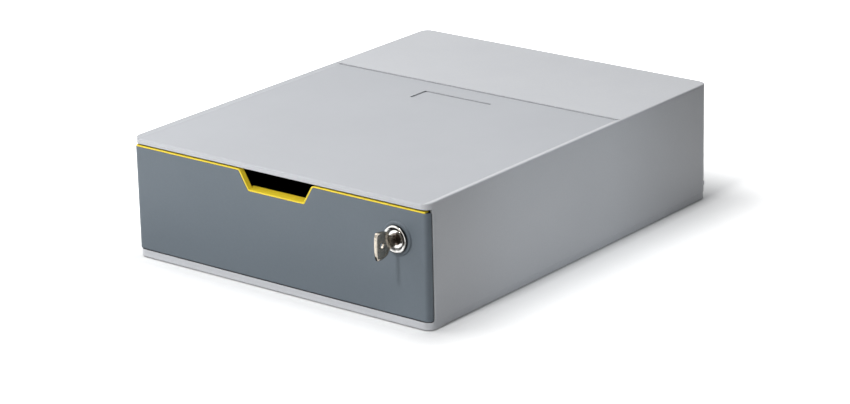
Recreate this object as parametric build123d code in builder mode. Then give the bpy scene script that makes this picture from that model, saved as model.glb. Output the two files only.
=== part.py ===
from build123d import *
import math
import os

# A desktop box for papers with one lockable drawer. Millimetres, +Z up, the front looks to -Y.
# The origin lies on the surface that the box stands on, in the middle of the box and its key.

# Housing: one moulding with top, sides, back and the sill below the drawer's front.
housing_width = 280.0
housing_depth = 356.0
housing_height = 95.0
wall = 2.6
roof = 3.6
front_corner_radius = 7.0
rear_corner_radius = 8.0
arris_radius = 1.2
front_edge_height = 4.8
sill_height = 5.6
sill_depth = 8.0
sill_blend_radius = 2.0
wall_setback = 5.3
strip_inset = 0.5
strip_start = 16.0

# Shallow recess in the top, open at the front, and the bare place for a label near its rear edge.
recess_depth = 1.0
recess_length = 237.5
rim_width = 5.7
label_width = 64.0
label_length = 20.0
label_depth = 0.8
label_to_step = 19.6

# Base plate, its screws, runners and feet.
base_thickness = 2.5
base_gap = 0.2
foot_proud = 0.8
foot_inlay = 0.8
foot_radius = 7.0
foot_gap = 0.2
foot_edge_inset = 22.0
foot_end_inset = 30.0
runner_width = 6.0
runner_inset = 40.0
runner_height = 5.5
runner_start = 20.0
runner_end_inset = 10.0
screw_radius = 1.3
screw_head_radius = 2.7
screw_head_height = 1.6
screw_hole_gap = 0.05
head_hole_gap = 0.2
recess_drive_radius = 1.4
base_screw_length = 6.8
base_screw_end_inset = 30.0
boss_height = 5.1
boss_length = 7.2
boss_width = 6.4
boss_corner_radius = 1.6

# Drawer tray with side flanges that run under guide ribs of the housing.
tray_wall = 2.0
tray_floor = 2.0
tray_front_wall = 2.2
tray_side_room = 7.4
tray_rear_room = 13.4
tray_top_room = 7.4
tray_corner_radius = 5.0
tray_floor_blend = 2.0
runner_gap = 0.2
flange_thickness = 2.0
flange_side_gap = 0.8
flange_start = 6.0
guide_gap = 0.4
guide_height = 3.0
guide_side_gap = 1.0
guide_start = 30.0
rim_overhang = 3.0
rim_thickness = 2.0
tab_width = 12.0
tab_thickness = 2.6
tab_height = 5.5
drawer_travel = 270.0
stop_clearance = 0.5
stop_rib_thickness = 4.0
stop_rib_gap = 1.0

# Front panel, a shallow pan, and the finger notch in its top edge.
panel_depth = 4.5
panel_face = 2.6
panel_border = 2.2
panel_side_gap = 0.6
panel_bottom_gap = 0.6
panel_arris = 0.7
panel_top_drop = 2.4
notch_top_half_width = 35.2
notch_bottom_half_width = 26.5
notch_depth = 14.4
notch_radius = 2.0
collar_radius = 13.0
collar_height = 1.2
collar_bevel = 0.9
lock_boss_radius = 14.5

# Trim that hooks over the panel and the tray's front wall and lines the panel's notch; the tray's
# own notch is wider.
trim_thickness = 1.1
trim_setback = 0.3
trim_end_inset = 2.4
hook_height = 4.0
tray_notch_room = 4.0
ledge_reach = 9.5
ledge_lip = 3.5
ledge_side_gap = 1.2

# Screws between tray wall and panel, the upper pair beside the notch.
front_screw_length = 5.3
front_boss_radius = 3.6
front_boss_hole_depth = 3.3
lower_screw_inset = 40.0
lower_screw_height = 15.0
upper_screw_to_notch = 29.4
upper_screw_drop = 15.8

# Cam lock. Depths along its axis are counted from the front panel's face.
lock_inset = 28.0
lock_drop = 22.9
lock_flange_radius = 10.2
lock_flange_thickness = 2.2
lock_dish_radius = 8.9
lock_dish_depth = 1.5
barrel_radius = 8.5
barrel_length = 20.0
barrel_hole_gap = 0.1
plug_radius = 5.5
plug_head_radius = 6.5
plug_head_thickness = 1.4
plug_gap = 0.05
plug_recess = 1.5
nut_across_flats = 22.0
nut_thickness = 3.5
groove_width = 6.8
groove_depth = 1.2
stop_notch_depth = 2.2
stop_tab_angle = 24.0
stop_tab_play = 1.0
stop_tab_radial = 1.7
stop_washer_thickness = 1.0
quarter_turn = 90.0
square_drive = 7.0
drive_gap = 0.05
drive_setback = 0.15
cam_thickness = 2.0
cam_roof_gap = 2.3
cam_width = 12.0
cam_hub_radius = 9.0
cam_washer_thickness = 0.8
cam_washer_radius = 4.6
cam_screw_radius = 2.0
cam_screw_head_radius = 4.0
cam_screw_head_height = 2.4
cam_screw_length = 8.0
catch_clearance = 0.5
catch_thickness = 3.0
catch_height = 8.0
catch_width = 30.0

# Wafers, their springs and the key.
wafer_count = 5
wafer_thickness = 1.0
wafer_pitch = 2.1
wafer_start = 1.0
wafer_half_width = 3.0
wafer_half_height = 4.3
wafer_lift = 1.0
wafer_gap = 0.05
ear_reach = 1.3
ear_height = 0.8
spring_radius = 0.5
spring_length = 2.4
blade_thickness = 2.0
blade_half_height = 2.4
blade_gap = 0.15
blade_length = 16.4
blade_tip = 1.8
blade_cut_depth = 0.9
keyway_end_gap = 0.4
neck_half_height = 4.5
neck_length = 4.1
bow_depth = 17.0
bow_half_height = 10.3
bow_shoulder_height = 8.5
bow_shoulder_depth = 4.5
bow_bulge = 2.4
bow_hole_radius = 2.1
bow_hole_inset = 6.5
key_edge_radius = 0.35
key_seat_gap = 0.2

overrun = 1.0

# Reach of the key in front of the panel, and the planes that everything is placed from.
lock_face_depth = -(collar_height + lock_flange_thickness)
key_shoulder_depth = lock_face_depth - key_seat_gap
key_reach = neck_length + bow_depth - key_shoulder_depth
front_y = -(housing_depth - key_reach) / 2
rear_y = front_y + housing_depth
middle_y = (front_y + rear_y) / 2
half_width = housing_width / 2
inner_half_width = half_width - wall
inner_rear_y = rear_y - wall
base_z = foot_proud
base_top_z = base_z + base_thickness
sill_top_z = base_z + sill_height
sill_rear_y = front_y + sill_depth
lip_z = housing_height - front_edge_height
roof_z = housing_height - roof
step_y = front_y + recess_length

tray_half_width = inner_half_width - tray_side_room
tray_front_y = front_y + panel_depth
tray_rear_y = inner_rear_y - tray_rear_room
tray_wall_rear_y = tray_front_y + tray_front_wall
tray_z = base_top_z + runner_height + runner_gap
tray_top_z = roof_z - tray_top_room
tray_inner_half = tray_half_width - tray_wall
flange_top_z = tray_z + flange_thickness
flange_half_width = inner_half_width - flange_side_gap

panel_z = sill_top_z + panel_bottom_gap
panel_top_z = lip_z - panel_top_drop
panel_half_width = half_width - panel_side_gap
notch_z = panel_top_z - notch_depth
lock_x = half_width - lock_inset
lock_z = panel_top_z - lock_drop
cam_reach = roof_z - lock_z - cam_roof_gap

plug_face_depth = lock_face_depth + plug_recess
plug_head_rear_depth = plug_face_depth + plug_head_thickness
barrel_rear_depth = barrel_length - collar_height
square_depth = barrel_rear_depth + drive_gap
cam_depth = square_depth + stop_washer_thickness
cam_rear_depth = cam_depth + cam_thickness
blade_tip_depth = key_shoulder_depth + blade_length
keyway_depth = blade_tip_depth + keyway_end_gap


def plan_at(height):
    """Plane parallel to the ground at a height."""
    return Plane.XY.offset(height)


def front_at(depth):
    """Plane parallel to the front, a depth behind the panel's face, seen from the front."""
    return Plane.XZ.offset(-(front_y + depth))


def lock_at(depth):
    """Plane square to the lock's axis, with its origin on the axis."""
    return Plane(origin=(lock_x, front_y + depth, lock_z), x_dir=(1, 0, 0), z_dir=(0, -1, 0))


def side_at(offset):
    """Plane parallel to the sides; its x runs along Y and its y along Z."""
    return Plane.YZ.offset(offset)


def housing_plan(inset=0.0):
    """The housing's outline from above, drawn in by an inset."""
    with BuildSketch() as outline:
        with Locations((0, middle_y)):
            Rectangle(housing_width - 2 * inset, housing_depth - 2 * inset)
        fillet(outline.vertices().group_by(Axis.Y)[0], front_corner_radius - inset)
        fillet(outline.vertices().group_by(Axis.Y)[-1], rear_corner_radius - inset)
    return outline.sketch


def cavity_plan(gap=0.0):
    """The space between the walls behind the sill, drawn in by a gap."""
    length = inner_rear_y - sill_rear_y - 2 * gap
    with BuildSketch() as outline:
        with Locations((0, (inner_rear_y + sill_rear_y) / 2)):
            Rectangle(2 * (inner_half_width - gap), length)
        fillet(outline.vertices().group_by(Axis.Y)[-1], rear_corner_radius - wall - gap)
    return outline.sketch


def tray_plan(inset=0.0):
    """The tray's outline from above, drawn in by an inset but for the front wall."""
    front = tray_wall_rear_y if inset else tray_front_y
    length = tray_rear_y - inset - front
    with BuildSketch() as outline:
        with Locations((0, front + length / 2)):
            Rectangle(2 * (tray_half_width - inset), length)
        fillet(outline.vertices().group_by(Axis.Y)[-1], tray_corner_radius - inset)
        if inset:
            fillet(outline.vertices().group_by(Axis.Y)[0], tray_corner_radius - inset)
    return outline.sketch


def panel_plan(setback=0.0):
    """The front panel's outline from above."""
    with BuildSketch() as outline:
        with Locations((0, front_y + (panel_depth + setback) / 2)):
            Rectangle(2 * panel_half_width, panel_depth - setback)
        corner = min(front_corner_radius - panel_side_gap, panel_depth - setback - 0.1)
        fillet(outline.vertices().group_by(Axis.Y)[0], corner)
    return outline.sketch


def notched_front(bottom, notch_room=0.0):
    """The front seen square on, from a bottom height to the top edge, with a finger notch."""
    top_half_width = notch_top_half_width + notch_room
    bottom_half_width = notch_bottom_half_width + notch_room
    with BuildSketch() as outline:
        with BuildLine():
            Polyline(
                (-panel_half_width, bottom),
                (-panel_half_width, panel_top_z),
                (-top_half_width, panel_top_z),
                (-bottom_half_width, notch_z),
                (bottom_half_width, notch_z),
                (top_half_width, panel_top_z),
                (panel_half_width, panel_top_z),
                (panel_half_width, bottom),
                close=True,
            )
        make_face()
        notch_corners = outline.vertices().filter_by_position(
            Axis.X, -top_half_width - overrun, top_half_width + overrun
        )
        fillet(notch_corners, notch_radius)
    return outline.sketch


def sector(inner, outer, start_angle, end_angle):
    """A ring's sector between two angles, counted in the drawing plane."""
    reach = 2 * outer
    middle = (start_angle + end_angle) / 2
    points = [(0.0, 0.0)]
    for angle in (start_angle, middle, end_angle):
        radians = math.radians(angle)
        points.append((reach * math.cos(radians), reach * math.sin(radians)))
    with BuildSketch() as ring:
        with BuildLine():
            Polyline(*points, close=True)
        make_face()
        Circle(outer, mode=Mode.INTERSECT)
        Circle(inner, mode=Mode.SUBTRACT)
    return ring.sketch


os.makedirs("parts", exist_ok=True)

# Places that several pieces share.
base_screw_x = inner_half_width - boss_width / 2
base_screw_ys = (front_y + base_screw_end_inset, middle_y, rear_y - base_screw_end_inset)
base_screw_places = [(x, y) for x in (-base_screw_x, base_screw_x) for y in base_screw_ys]
foot_x = half_width - foot_edge_inset
foot_places = {
    "foot_front_left": (-foot_x, front_y + foot_end_inset),
    "foot_front_right": (foot_x, front_y + foot_end_inset),
    "foot_rear_left": (-foot_x, rear_y - foot_end_inset),
    "foot_rear_right": (foot_x, rear_y - foot_end_inset),
}
lower_screw_x = half_width - lower_screw_inset
lower_screw_z = panel_z + lower_screw_height
upper_screw_x = notch_top_half_width + upper_screw_to_notch
upper_screw_z = panel_top_z - upper_screw_drop
front_screw_places = [
    (-lower_screw_x, lower_screw_z),
    (lower_screw_x, lower_screw_z),
    (-upper_screw_x, upper_screw_z),
    (upper_screw_x, upper_screw_z),
]
wafer_depths = [wafer_start + index * wafer_pitch for index in range(wafer_count)]
tab_front_y = tray_rear_y - tab_thickness
stop_rear_y = tab_front_y - drawer_travel - stop_clearance
stop_rib_z = tray_top_z + stop_rib_gap
cam_front_y = front_y + cam_depth
catch_rear_y = cam_front_y - catch_clearance

# Housing shell: the outer body, hollowed from below and opened at the front.
with BuildPart() as housing_shell:
    with BuildSketch(plan_at(base_z)):
        add(housing_plan())
    extrude(amount=housing_height - base_z)
    fillet(housing_shell.faces().sort_by(Axis.Z)[-1].edges(), arris_radius)
    # Recess floor, with its front edge rounded over.
    floor_z = housing_height - recess_depth
    with BuildSketch(side_at(0)):
        with BuildLine():
            Line((front_y - overrun, floor_z - arris_radius), (front_y, floor_z - arris_radius))
            ThreePointArc(
                (front_y, floor_z - arris_radius),
                (
                    front_y + arris_radius * (1 - math.sqrt(0.5)),
                    floor_z - arris_radius * (1 - math.sqrt(0.5)),
                ),
                (front_y + arris_radius, floor_z),
            )
            Polyline(
                (front_y + arris_radius, floor_z),
                (step_y, floor_z),
                (step_y, housing_height + overrun),
                (front_y - overrun, housing_height + overrun),
                (front_y - overrun, floor_z - arris_radius),
            )
        make_face()
    extrude(amount=half_width - rim_width, both=True, mode=Mode.SUBTRACT)
    # The rims slope down from the outer edge to the recess floor.
    for side in (-1, 1):
        with BuildSketch(Plane.XZ.offset(-step_y)):
            with BuildLine():
                Polyline(
                    (side * (half_width - arris_radius), housing_height),
                    (side * (half_width - rim_width), floor_z),
                    (side * (half_width - rim_width - overrun), floor_z),
                    (side * (half_width - rim_width - overrun), housing_height + overrun),
                    (side * (half_width - arris_radius), housing_height + overrun),
                    close=True,
                )
            make_face()
        extrude(amount=recess_length + overrun, mode=Mode.SUBTRACT)
    # Bare, shallow place for a label.
    with BuildSketch(plan_at(floor_z)):
        with Locations((0, step_y - label_to_step - label_length / 2)):
            Rectangle(label_width, label_length)
    extrude(amount=-label_depth, mode=Mode.SUBTRACT)
    # Hollow for the drawer.
    with BuildSketch(plan_at(base_z)):
        add(cavity_plan())
    extrude(amount=roof_z - base_z, mode=Mode.SUBTRACT)
    with BuildSketch(front_at(-overrun)):
        with Locations((0, (sill_top_z + lip_z) / 2)):
            Rectangle(2 * inner_half_width, lip_z - sill_top_z)
    extrude(amount=-(sill_depth + 2 * overrun), mode=Mode.SUBTRACT)
    # The side walls end behind the panel, with a small blend onto the sill.
    with BuildSketch(side_at(0)) as panel_room:
        with Locations((front_y + (wall_setback - overrun) / 2, (sill_top_z + lip_z) / 2)):
            Rectangle(wall_setback + overrun, lip_z - sill_top_z)
        fillet(
            panel_room.vertices().group_by(Axis.X)[-1].sort_by(Axis.Y)[0],
            sill_blend_radius,
        )
    extrude(amount=half_width + overrun, both=True, mode=Mode.SUBTRACT)
    # Stepped foot of the side and rear walls.
    with BuildSketch(plan_at(base_z)):
        add(housing_plan())
        add(housing_plan(strip_inset), mode=Mode.SUBTRACT)
        with Locations((0, front_y)):
            Rectangle(housing_width, 2 * strip_start, mode=Mode.SUBTRACT)
    extrude(amount=sill_height, mode=Mode.SUBTRACT)
    # Bosses for the base screws.
    for x, y in base_screw_places:
        side = math.copysign(1, x)
        with BuildSketch(plan_at(base_top_z)) as boss:
            with Locations((x + side * wall / 4, y)):
                Rectangle(boss_width + wall / 2, boss_length)
            fillet(boss.vertices().filter_by_position(Axis.X, -base_screw_x, base_screw_x),
                   boss_corner_radius)
        extrude(amount=boss_height)
        with Locations(plan_at(base_top_z)):
            with Locations((x, y)):
                Hole(screw_radius + screw_hole_gap, base_screw_length)
    # Guide ribs above the tray's flanges.
    guide_reach = tray_side_room - guide_side_gap
    guide_length = inner_rear_y - front_y - guide_start
    for side in (-1, 1):
        with BuildSketch(plan_at(flange_top_z + guide_gap)):
            with Locations(
                (
                    side * (inner_half_width - (guide_reach - wall / 2) / 2),
                    inner_rear_y - guide_length / 2,
                )
            ):
                Rectangle(guide_reach + wall / 2, guide_length)
        extrude(amount=guide_height)
    # Ribs below the roof: two that stop the drawer, one that the cam catches behind.
    for side in (-1, 1):
        with BuildSketch(plan_at(stop_rib_z)):
            with Locations(
                (side * (tray_half_width - tab_width / 2), stop_rear_y - stop_rib_thickness / 2)
            ):
                Rectangle(tab_width, stop_rib_thickness)
        extrude(amount=roof_z - stop_rib_z)
    with BuildSketch(plan_at(roof_z - catch_height)):
        with Locations((lock_x, catch_rear_y - catch_thickness / 2)):
            Rectangle(catch_width, catch_thickness)
    extrude(amount=catch_height)
housing_shell.part.label = "housing_shell"
export_step(housing_shell.part, "parts/housing_shell.step")

# Base plate with runners, sunk places for the feet and countersunk screw holes.
with BuildPart() as base_plate:
    with BuildSketch(plan_at(base_z)):
        add(cavity_plan(base_gap))
    extrude(amount=base_thickness)
    runner_front_y = front_y + runner_start
    runner_length = inner_rear_y - runner_end_inset - runner_front_y
    with BuildSketch(plan_at(base_top_z)):
        for side in (-1, 1):
            with Locations((side * (half_width - runner_inset), runner_front_y + runner_length / 2)):
                Rectangle(runner_width, runner_length)
    extrude(amount=runner_height)
    with BuildSketch(plan_at(base_z)):
        with Locations(*foot_places.values()):
            Circle(foot_radius + foot_gap)
    extrude(amount=foot_inlay, mode=Mode.SUBTRACT)
    with Locations(Plane.XY.offset(base_z).rotated((180, 0, 0))):
        with Locations(*[(x, -y) for x, y in base_screw_places]):
            CounterSinkHole(screw_radius + screw_hole_gap, screw_head_radius + head_hole_gap)
base_plate.part.label = "base_plate"
export_step(base_plate.part, "parts/base_plate.step")

# Screws that hold the base plate, with flat countersunk heads and a hexagon socket.
with BuildPart() as base_screws:
    for x, y in base_screw_places:
        with BuildSketch(Plane.XZ.offset(-y)):
            with BuildLine():
                Polyline(
                    (x, base_z),
                    (x + screw_head_radius, base_z),
                    (x + screw_radius, base_z + screw_head_radius - screw_radius),
                    (x + screw_radius, base_z + base_screw_length),
                    (x, base_z + base_screw_length),
                    close=True,
                )
            make_face()
        revolve(axis=Axis((x, y, 0), (0, 0, 1)))
    with BuildSketch(plan_at(base_z)):
        with Locations(*base_screw_places):
            RegularPolygon(recess_drive_radius, 6)
    extrude(amount=screw_head_height / 2, mode=Mode.SUBTRACT)
base_screws.part.label = "base_screws"
export_step(base_screws.part, "parts/base_screws.step")

# Four rubber feet, let into the base plate.
for name, (x, y) in foot_places.items():
    with BuildPart() as foot:
        with BuildSketch():
            with Locations((x, y)):
                Circle(foot_radius)
        extrude(amount=foot_proud + foot_inlay)
        chamfer(foot.faces().sort_by(Axis.Z)[0].edges(), foot_proud / 3)
    foot.part.label = name
    export_step(foot.part, f"parts/{name}.step")

# Drawer tray.
with BuildPart() as drawer_tray:
    with BuildSketch(plan_at(tray_z)):
        add(tray_plan())
    extrude(amount=tray_top_z - tray_z)
    with BuildSketch(plan_at(tray_top_z)):
        with Locations((0, (tray_front_y + tray_wall_rear_y) / 2)):
            Rectangle(2 * tray_half_width, tray_front_wall)
    extrude(amount=panel_top_z - tray_top_z)
    with BuildSketch(plan_at(tray_z + tray_floor)):
        add(tray_plan(tray_wall))
    extrude(amount=panel_top_z - tray_z, mode=Mode.SUBTRACT)
    floor_face = drawer_tray.faces().filter_by(Axis.Z).filter_by_position(
        Axis.Z, tray_z + tray_floor - 0.01, tray_z + tray_floor + 0.01
    )
    fillet(floor_face.edges(), tray_floor_blend)
    # Side flanges, rolled rim and stop tabs.
    flange_length = tray_rear_y - tray_corner_radius - tray_front_y - flange_start
    flange_y = tray_front_y + flange_start + flange_length / 2
    rim_length = tray_rear_y - tray_corner_radius - tray_wall_rear_y
    for side in (-1, 1):
        flange_width = flange_half_width - tray_inner_half
        with BuildSketch(plan_at(tray_z)):
            with Locations((side * (tray_inner_half + flange_width / 2), flange_y)):
                Rectangle(flange_width, flange_length)
        extrude(amount=flange_thickness)
        rim_x = side * (tray_half_width + rim_overhang / 2)
        with BuildSketch(plan_at(tray_top_z - rim_thickness)):
            with Locations((rim_x, tray_wall_rear_y + rim_length / 2)):
                Rectangle(rim_overhang, rim_length)
        extrude(amount=rim_thickness)
        tab_x = side * (tray_half_width - tray_corner_radius - tab_width / 2)
        with BuildSketch(front_at(tab_front_y - front_y)):
            with Locations((tab_x, tray_top_z + (tab_height - tray_wall) / 2)):
                Rectangle(tab_width, tab_height + tray_wall)
        extrude(amount=-tab_thickness)
    # The finger notch, the lock's hole and the screw holes go through the front wall.
    with BuildSketch(front_at(panel_depth - overrun)):
        with Locations((0, panel_top_z)):
            Rectangle(2 * panel_half_width, 2 * (panel_top_z - panel_z))
        add(notched_front(panel_z - notch_depth, tray_notch_room), mode=Mode.SUBTRACT)
    extrude(amount=-(tray_front_wall + 2 * overrun), mode=Mode.SUBTRACT)
    with BuildSketch(lock_at(panel_depth - overrun)):
        Circle(barrel_radius + barrel_hole_gap)
    extrude(amount=-(tray_front_wall + 2 * overrun), mode=Mode.SUBTRACT)
    with BuildSketch(front_at(panel_depth - overrun)):
        with Locations(*front_screw_places):
            Circle(screw_radius + head_hole_gap)
    extrude(amount=-(tray_front_wall + 2 * overrun), mode=Mode.SUBTRACT)
drawer_tray.part.label = "drawer_tray"
export_step(drawer_tray.part, "parts/drawer_tray.step")

# Front panel: a face with a border behind it, bosses for the screws and the lock.
with BuildPart() as front_panel:
    with BuildSketch(front_at(0)):
        add(notched_front(panel_z))
    extrude(amount=-panel_depth)
    with BuildSketch(plan_at(panel_z)):
        add(panel_plan())
    extrude(amount=panel_top_z - panel_z, mode=Mode.INTERSECT)
    fillet(
        front_panel.faces().filter_by(Axis.Y).sort_by(Axis.Y)[0].edges().filter_by(
            lambda edge: edge.tangent_at(0.5).Z ** 2 < 0.99
        ),
        panel_arris,
    )
    with BuildSketch(front_at(panel_depth)):
        add(notched_front(panel_z))
        offset(amount=-panel_border, mode=Mode.REPLACE)
        with Locations(*front_screw_places):
            Circle(front_boss_radius, mode=Mode.SUBTRACT)
        with Locations((lock_x, lock_z)):
            Circle(lock_boss_radius, mode=Mode.SUBTRACT)
    extrude(amount=panel_depth - panel_face, mode=Mode.SUBTRACT)
    with BuildSketch(lock_at(0)):
        Circle(collar_radius)
    extrude(amount=collar_height)
    chamfer(front_panel.faces().sort_by(Axis.Y)[0].edges(), collar_height - 0.01, collar_bevel)
    with BuildSketch(lock_at(-collar_height - overrun)):
        Circle(barrel_radius + barrel_hole_gap)
    extrude(amount=-(collar_height + panel_depth + 2 * overrun), mode=Mode.SUBTRACT)
    with BuildSketch(front_at(panel_depth)):
        with Locations(*front_screw_places):
            Circle(screw_radius + screw_hole_gap)
    extrude(amount=front_boss_hole_depth, mode=Mode.SUBTRACT)
front_panel.part.label = "front_panel"
export_step(front_panel.part, "parts/front_panel.step")

# Trim: a cap over the panel's top edge, hooked behind the tray's front wall, and the notch's lining.
trim_rear_depth = panel_depth + tray_front_wall + trim_thickness
cap_half_width = panel_half_width - trim_end_inset
with BuildPart() as accent_liner:
    with BuildSketch(front_at(trim_setback)):
        add(notched_front(panel_z))
        offset(amount=trim_thickness, mode=Mode.REPLACE)
        add(notched_front(panel_z - notch_depth), mode=Mode.SUBTRACT)
        with Locations((0, panel_top_z)):
            Rectangle(2 * cap_half_width, 2 * (notch_depth + trim_thickness), mode=Mode.INTERSECT)
    extrude(amount=-(panel_depth - trim_setback))
    # Behind the panel only the cap goes on, over the tray's front wall and down behind it.
    cap_length = cap_half_width - notch_top_half_width - notch_radius
    hook_start = notch_top_half_width + tray_notch_room + hook_height
    hook_length = tray_half_width - tray_corner_radius - hook_start
    for side in (-1, 1):
        cap_x = side * (cap_half_width - cap_length / 2)
        with BuildSketch(front_at(panel_depth)):
            with Locations((cap_x, panel_top_z + trim_thickness / 2)):
                Rectangle(cap_length, trim_thickness)
        extrude(amount=-(trim_rear_depth - panel_depth))
        hook_x = side * (hook_start + hook_length / 2)
        with BuildSketch(front_at(trim_rear_depth - trim_thickness)):
            with Locations((hook_x, panel_top_z - hook_height / 2)):
                Rectangle(hook_length, hook_height)
        extrude(amount=-trim_thickness)
    # The cap follows the panel's rounded ends, and behind them it is as wide as the tray.
    with BuildSketch(plan_at(notch_z - hook_height - overrun)):
        add(panel_plan(trim_setback))
        with Locations((0, front_y + (panel_depth + trim_rear_depth) / 2)):
            Rectangle(2 * tray_half_width, trim_rear_depth - panel_depth)
    extrude(amount=notch_depth + hook_height + trim_thickness + 2 * overrun, mode=Mode.INTERSECT)
    # Ledge for the fingers, wider than the lining, with a lip below its rear edge.
    ledge_half_width = notch_bottom_half_width + tray_notch_room - ledge_side_gap
    with BuildSketch(front_at(panel_depth)):
        with Locations((0, notch_z + trim_thickness / 2)):
            Rectangle(2 * ledge_half_width, trim_thickness)
    extrude(amount=-(ledge_reach - panel_depth))
    with BuildSketch(front_at(ledge_reach - trim_thickness)):
        with Locations((0, notch_z + trim_thickness - ledge_lip / 2)):
            Rectangle(2 * ledge_half_width, ledge_lip)
    extrude(amount=-trim_thickness)
accent_liner.part.label = "accent_liner"
export_step(accent_liner.part, "parts/accent_liner.step")

# Pan head screws from inside the tray into the panel.
with BuildPart() as front_screws:
    head_depth = panel_depth + tray_front_wall
    with BuildSketch(front_at(head_depth)):
        with Locations(*front_screw_places):
            Circle(screw_head_radius)
    extrude(amount=-screw_head_height)
    for face in front_screws.faces().filter_by(Axis.Y).group_by(Axis.Y)[-1]:
        fillet(face.edges(), screw_head_height / 2)
    with BuildSketch(front_at(head_depth + screw_head_height)):
        with Locations(*front_screw_places):
            RegularPolygon(recess_drive_radius, 6)
    extrude(amount=screw_head_height / 2, mode=Mode.SUBTRACT)
    with BuildSketch(front_at(head_depth)):
        with Locations(*front_screw_places):
            Circle(screw_radius)
    extrude(amount=front_screw_length)
front_screws.part.label = "front_screws"
export_step(front_screws.part, "parts/front_screws.step")

# Lock barrel: flange with a dish, threaded body, grooves for the wafers, notch for the stop.
with BuildPart() as lock_barrel:
    with BuildSketch(lock_at(-collar_height)):
        Circle(lock_flange_radius)
    extrude(amount=lock_flange_thickness)
    fillet(lock_barrel.edges().sort_by(Axis.Y)[0], lock_flange_radius - lock_dish_radius - 0.5)
    with BuildSketch(lock_at(-collar_height)):
        Circle(barrel_radius)
    extrude(amount=-barrel_length)
    head_seat_radius = plug_head_radius + plug_gap
    with BuildSketch(Plane(lock_at(lock_face_depth).origin, x_dir=(0, 1, 0), z_dir=(1, 0, 0))):
        with BuildLine():
            Polyline(
                (0, 0),
                (0, lock_dish_radius),
                (lock_dish_depth, head_seat_radius),
                (plug_recess + plug_head_thickness + plug_gap, head_seat_radius),
                (plug_recess + plug_head_thickness + plug_gap, 0),
                close=True,
            )
        make_face()
    revolve(axis=Axis(lock_at(lock_face_depth).origin, (0, 1, 0)), mode=Mode.SUBTRACT)
    with BuildSketch(lock_at(lock_face_depth - overrun)):
        Circle(plug_radius + plug_gap)
    extrude(amount=-(barrel_length + 2 * overrun + lock_flange_thickness), mode=Mode.SUBTRACT)
    groove_depth_start = wafer_start - wafer_thickness / 2
    groove_length = wafer_depths[-1] + 1.5 * wafer_thickness - groove_depth_start
    groove_middle = (plug_radius + groove_depth) / 2
    with BuildSketch(lock_at(groove_depth_start)):
        with Locations((0, groove_middle)):
            Rectangle(groove_width, plug_radius + groove_depth)
        with Locations((groove_middle, 0)):
            Rectangle(plug_radius + groove_depth, groove_width)
    extrude(amount=-groove_length, mode=Mode.SUBTRACT)
    rest_angle = 180.0
    locked_angle = rest_angle - quarter_turn
    notch_margin = stop_tab_angle / 2 + stop_tab_play
    with BuildSketch(lock_at(barrel_rear_depth)):
        add(
            sector(
                barrel_radius - stop_tab_radial - plug_gap,
                barrel_radius + overrun,
                locked_angle - notch_margin,
                rest_angle + notch_margin,
            )
        )
    extrude(amount=stop_notch_depth, mode=Mode.SUBTRACT)
lock_barrel.part.label = "lock_barrel"
export_step(lock_barrel.part, "parts/lock_barrel.step")

# Nut that clamps the barrel through panel and tray.
with BuildPart() as barrel_nut:
    with BuildSketch(lock_at(panel_depth + tray_front_wall)):
        RegularPolygon(nut_across_flats / 2, 6, major_radius=False)
        Circle(barrel_radius + screw_hole_gap, mode=Mode.SUBTRACT)
    extrude(amount=-nut_thickness)
    chamfer(barrel_nut.edges().filter_by(GeomType.CIRCLE), screw_radius / 4)
barrel_nut.part.label = "barrel_nut"
export_step(barrel_nut.part, "parts/barrel_nut.step")

# Lock plug with keyway, wafer slots, square drive and the hole for the cam screw.
with BuildPart() as lock_plug:
    with BuildSketch(lock_at(plug_face_depth)):
        Circle(plug_head_radius)
    extrude(amount=-plug_head_thickness)
    with BuildSketch(lock_at(plug_head_rear_depth)):
        Circle(plug_radius)
    extrude(amount=-(square_depth - plug_head_rear_depth))
    with BuildSketch(lock_at(square_depth)):
        Rectangle(square_drive, square_drive)
    extrude(amount=-(cam_rear_depth - drive_setback - square_depth))
    with BuildSketch(lock_at(plug_face_depth - overrun)):
        Rectangle(blade_thickness + 2 * blade_gap, 2 * (blade_half_height + blade_gap))
    extrude(amount=-(keyway_depth - plug_face_depth + overrun), mode=Mode.SUBTRACT)
    pocket_top = ear_height + wafer_lift + wafer_gap
    pocket_width = ear_reach + 2 * wafer_gap
    for depth in wafer_depths:
        with BuildSketch(lock_at(depth - wafer_gap)):
            Rectangle(2 * (wafer_half_width + wafer_gap), 2 * plug_radius)
            with Locations((wafer_half_width + pocket_width / 2, (pocket_top - spring_length) / 2)):
                Rectangle(pocket_width, pocket_top + spring_length)
        extrude(amount=-(wafer_thickness + 2 * wafer_gap), mode=Mode.SUBTRACT)
    cam_screw_end = cam_rear_depth + cam_washer_thickness - cam_screw_length
    with BuildSketch(lock_at(cam_rear_depth)):
        Circle(cam_screw_radius + screw_hole_gap)
    extrude(amount=cam_rear_depth - cam_screw_end + keyway_end_gap, mode=Mode.SUBTRACT)
lock_plug.part.label = "lock_plug"
export_step(lock_plug.part, "parts/lock_plug.step")

# Stop washer: its bent tab runs in the notch of the barrel.
with BuildPart() as stop_washer:
    with BuildSketch(lock_at(square_depth)):
        Circle(barrel_radius)
        Rectangle(square_drive + 2 * drive_gap, square_drive + 2 * drive_gap, mode=Mode.SUBTRACT)
    extrude(amount=-stop_washer_thickness)
    with BuildSketch(lock_at(square_depth)):
        add(
            sector(
                barrel_radius - stop_tab_radial,
                barrel_radius,
                rest_angle - stop_tab_angle / 2,
                rest_angle + stop_tab_angle / 2,
            )
        )
    extrude(amount=stop_notch_depth - 2 * drive_gap)
stop_washer.part.label = "stop_washer"
export_step(stop_washer.part, "parts/stop_washer.step")

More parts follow.
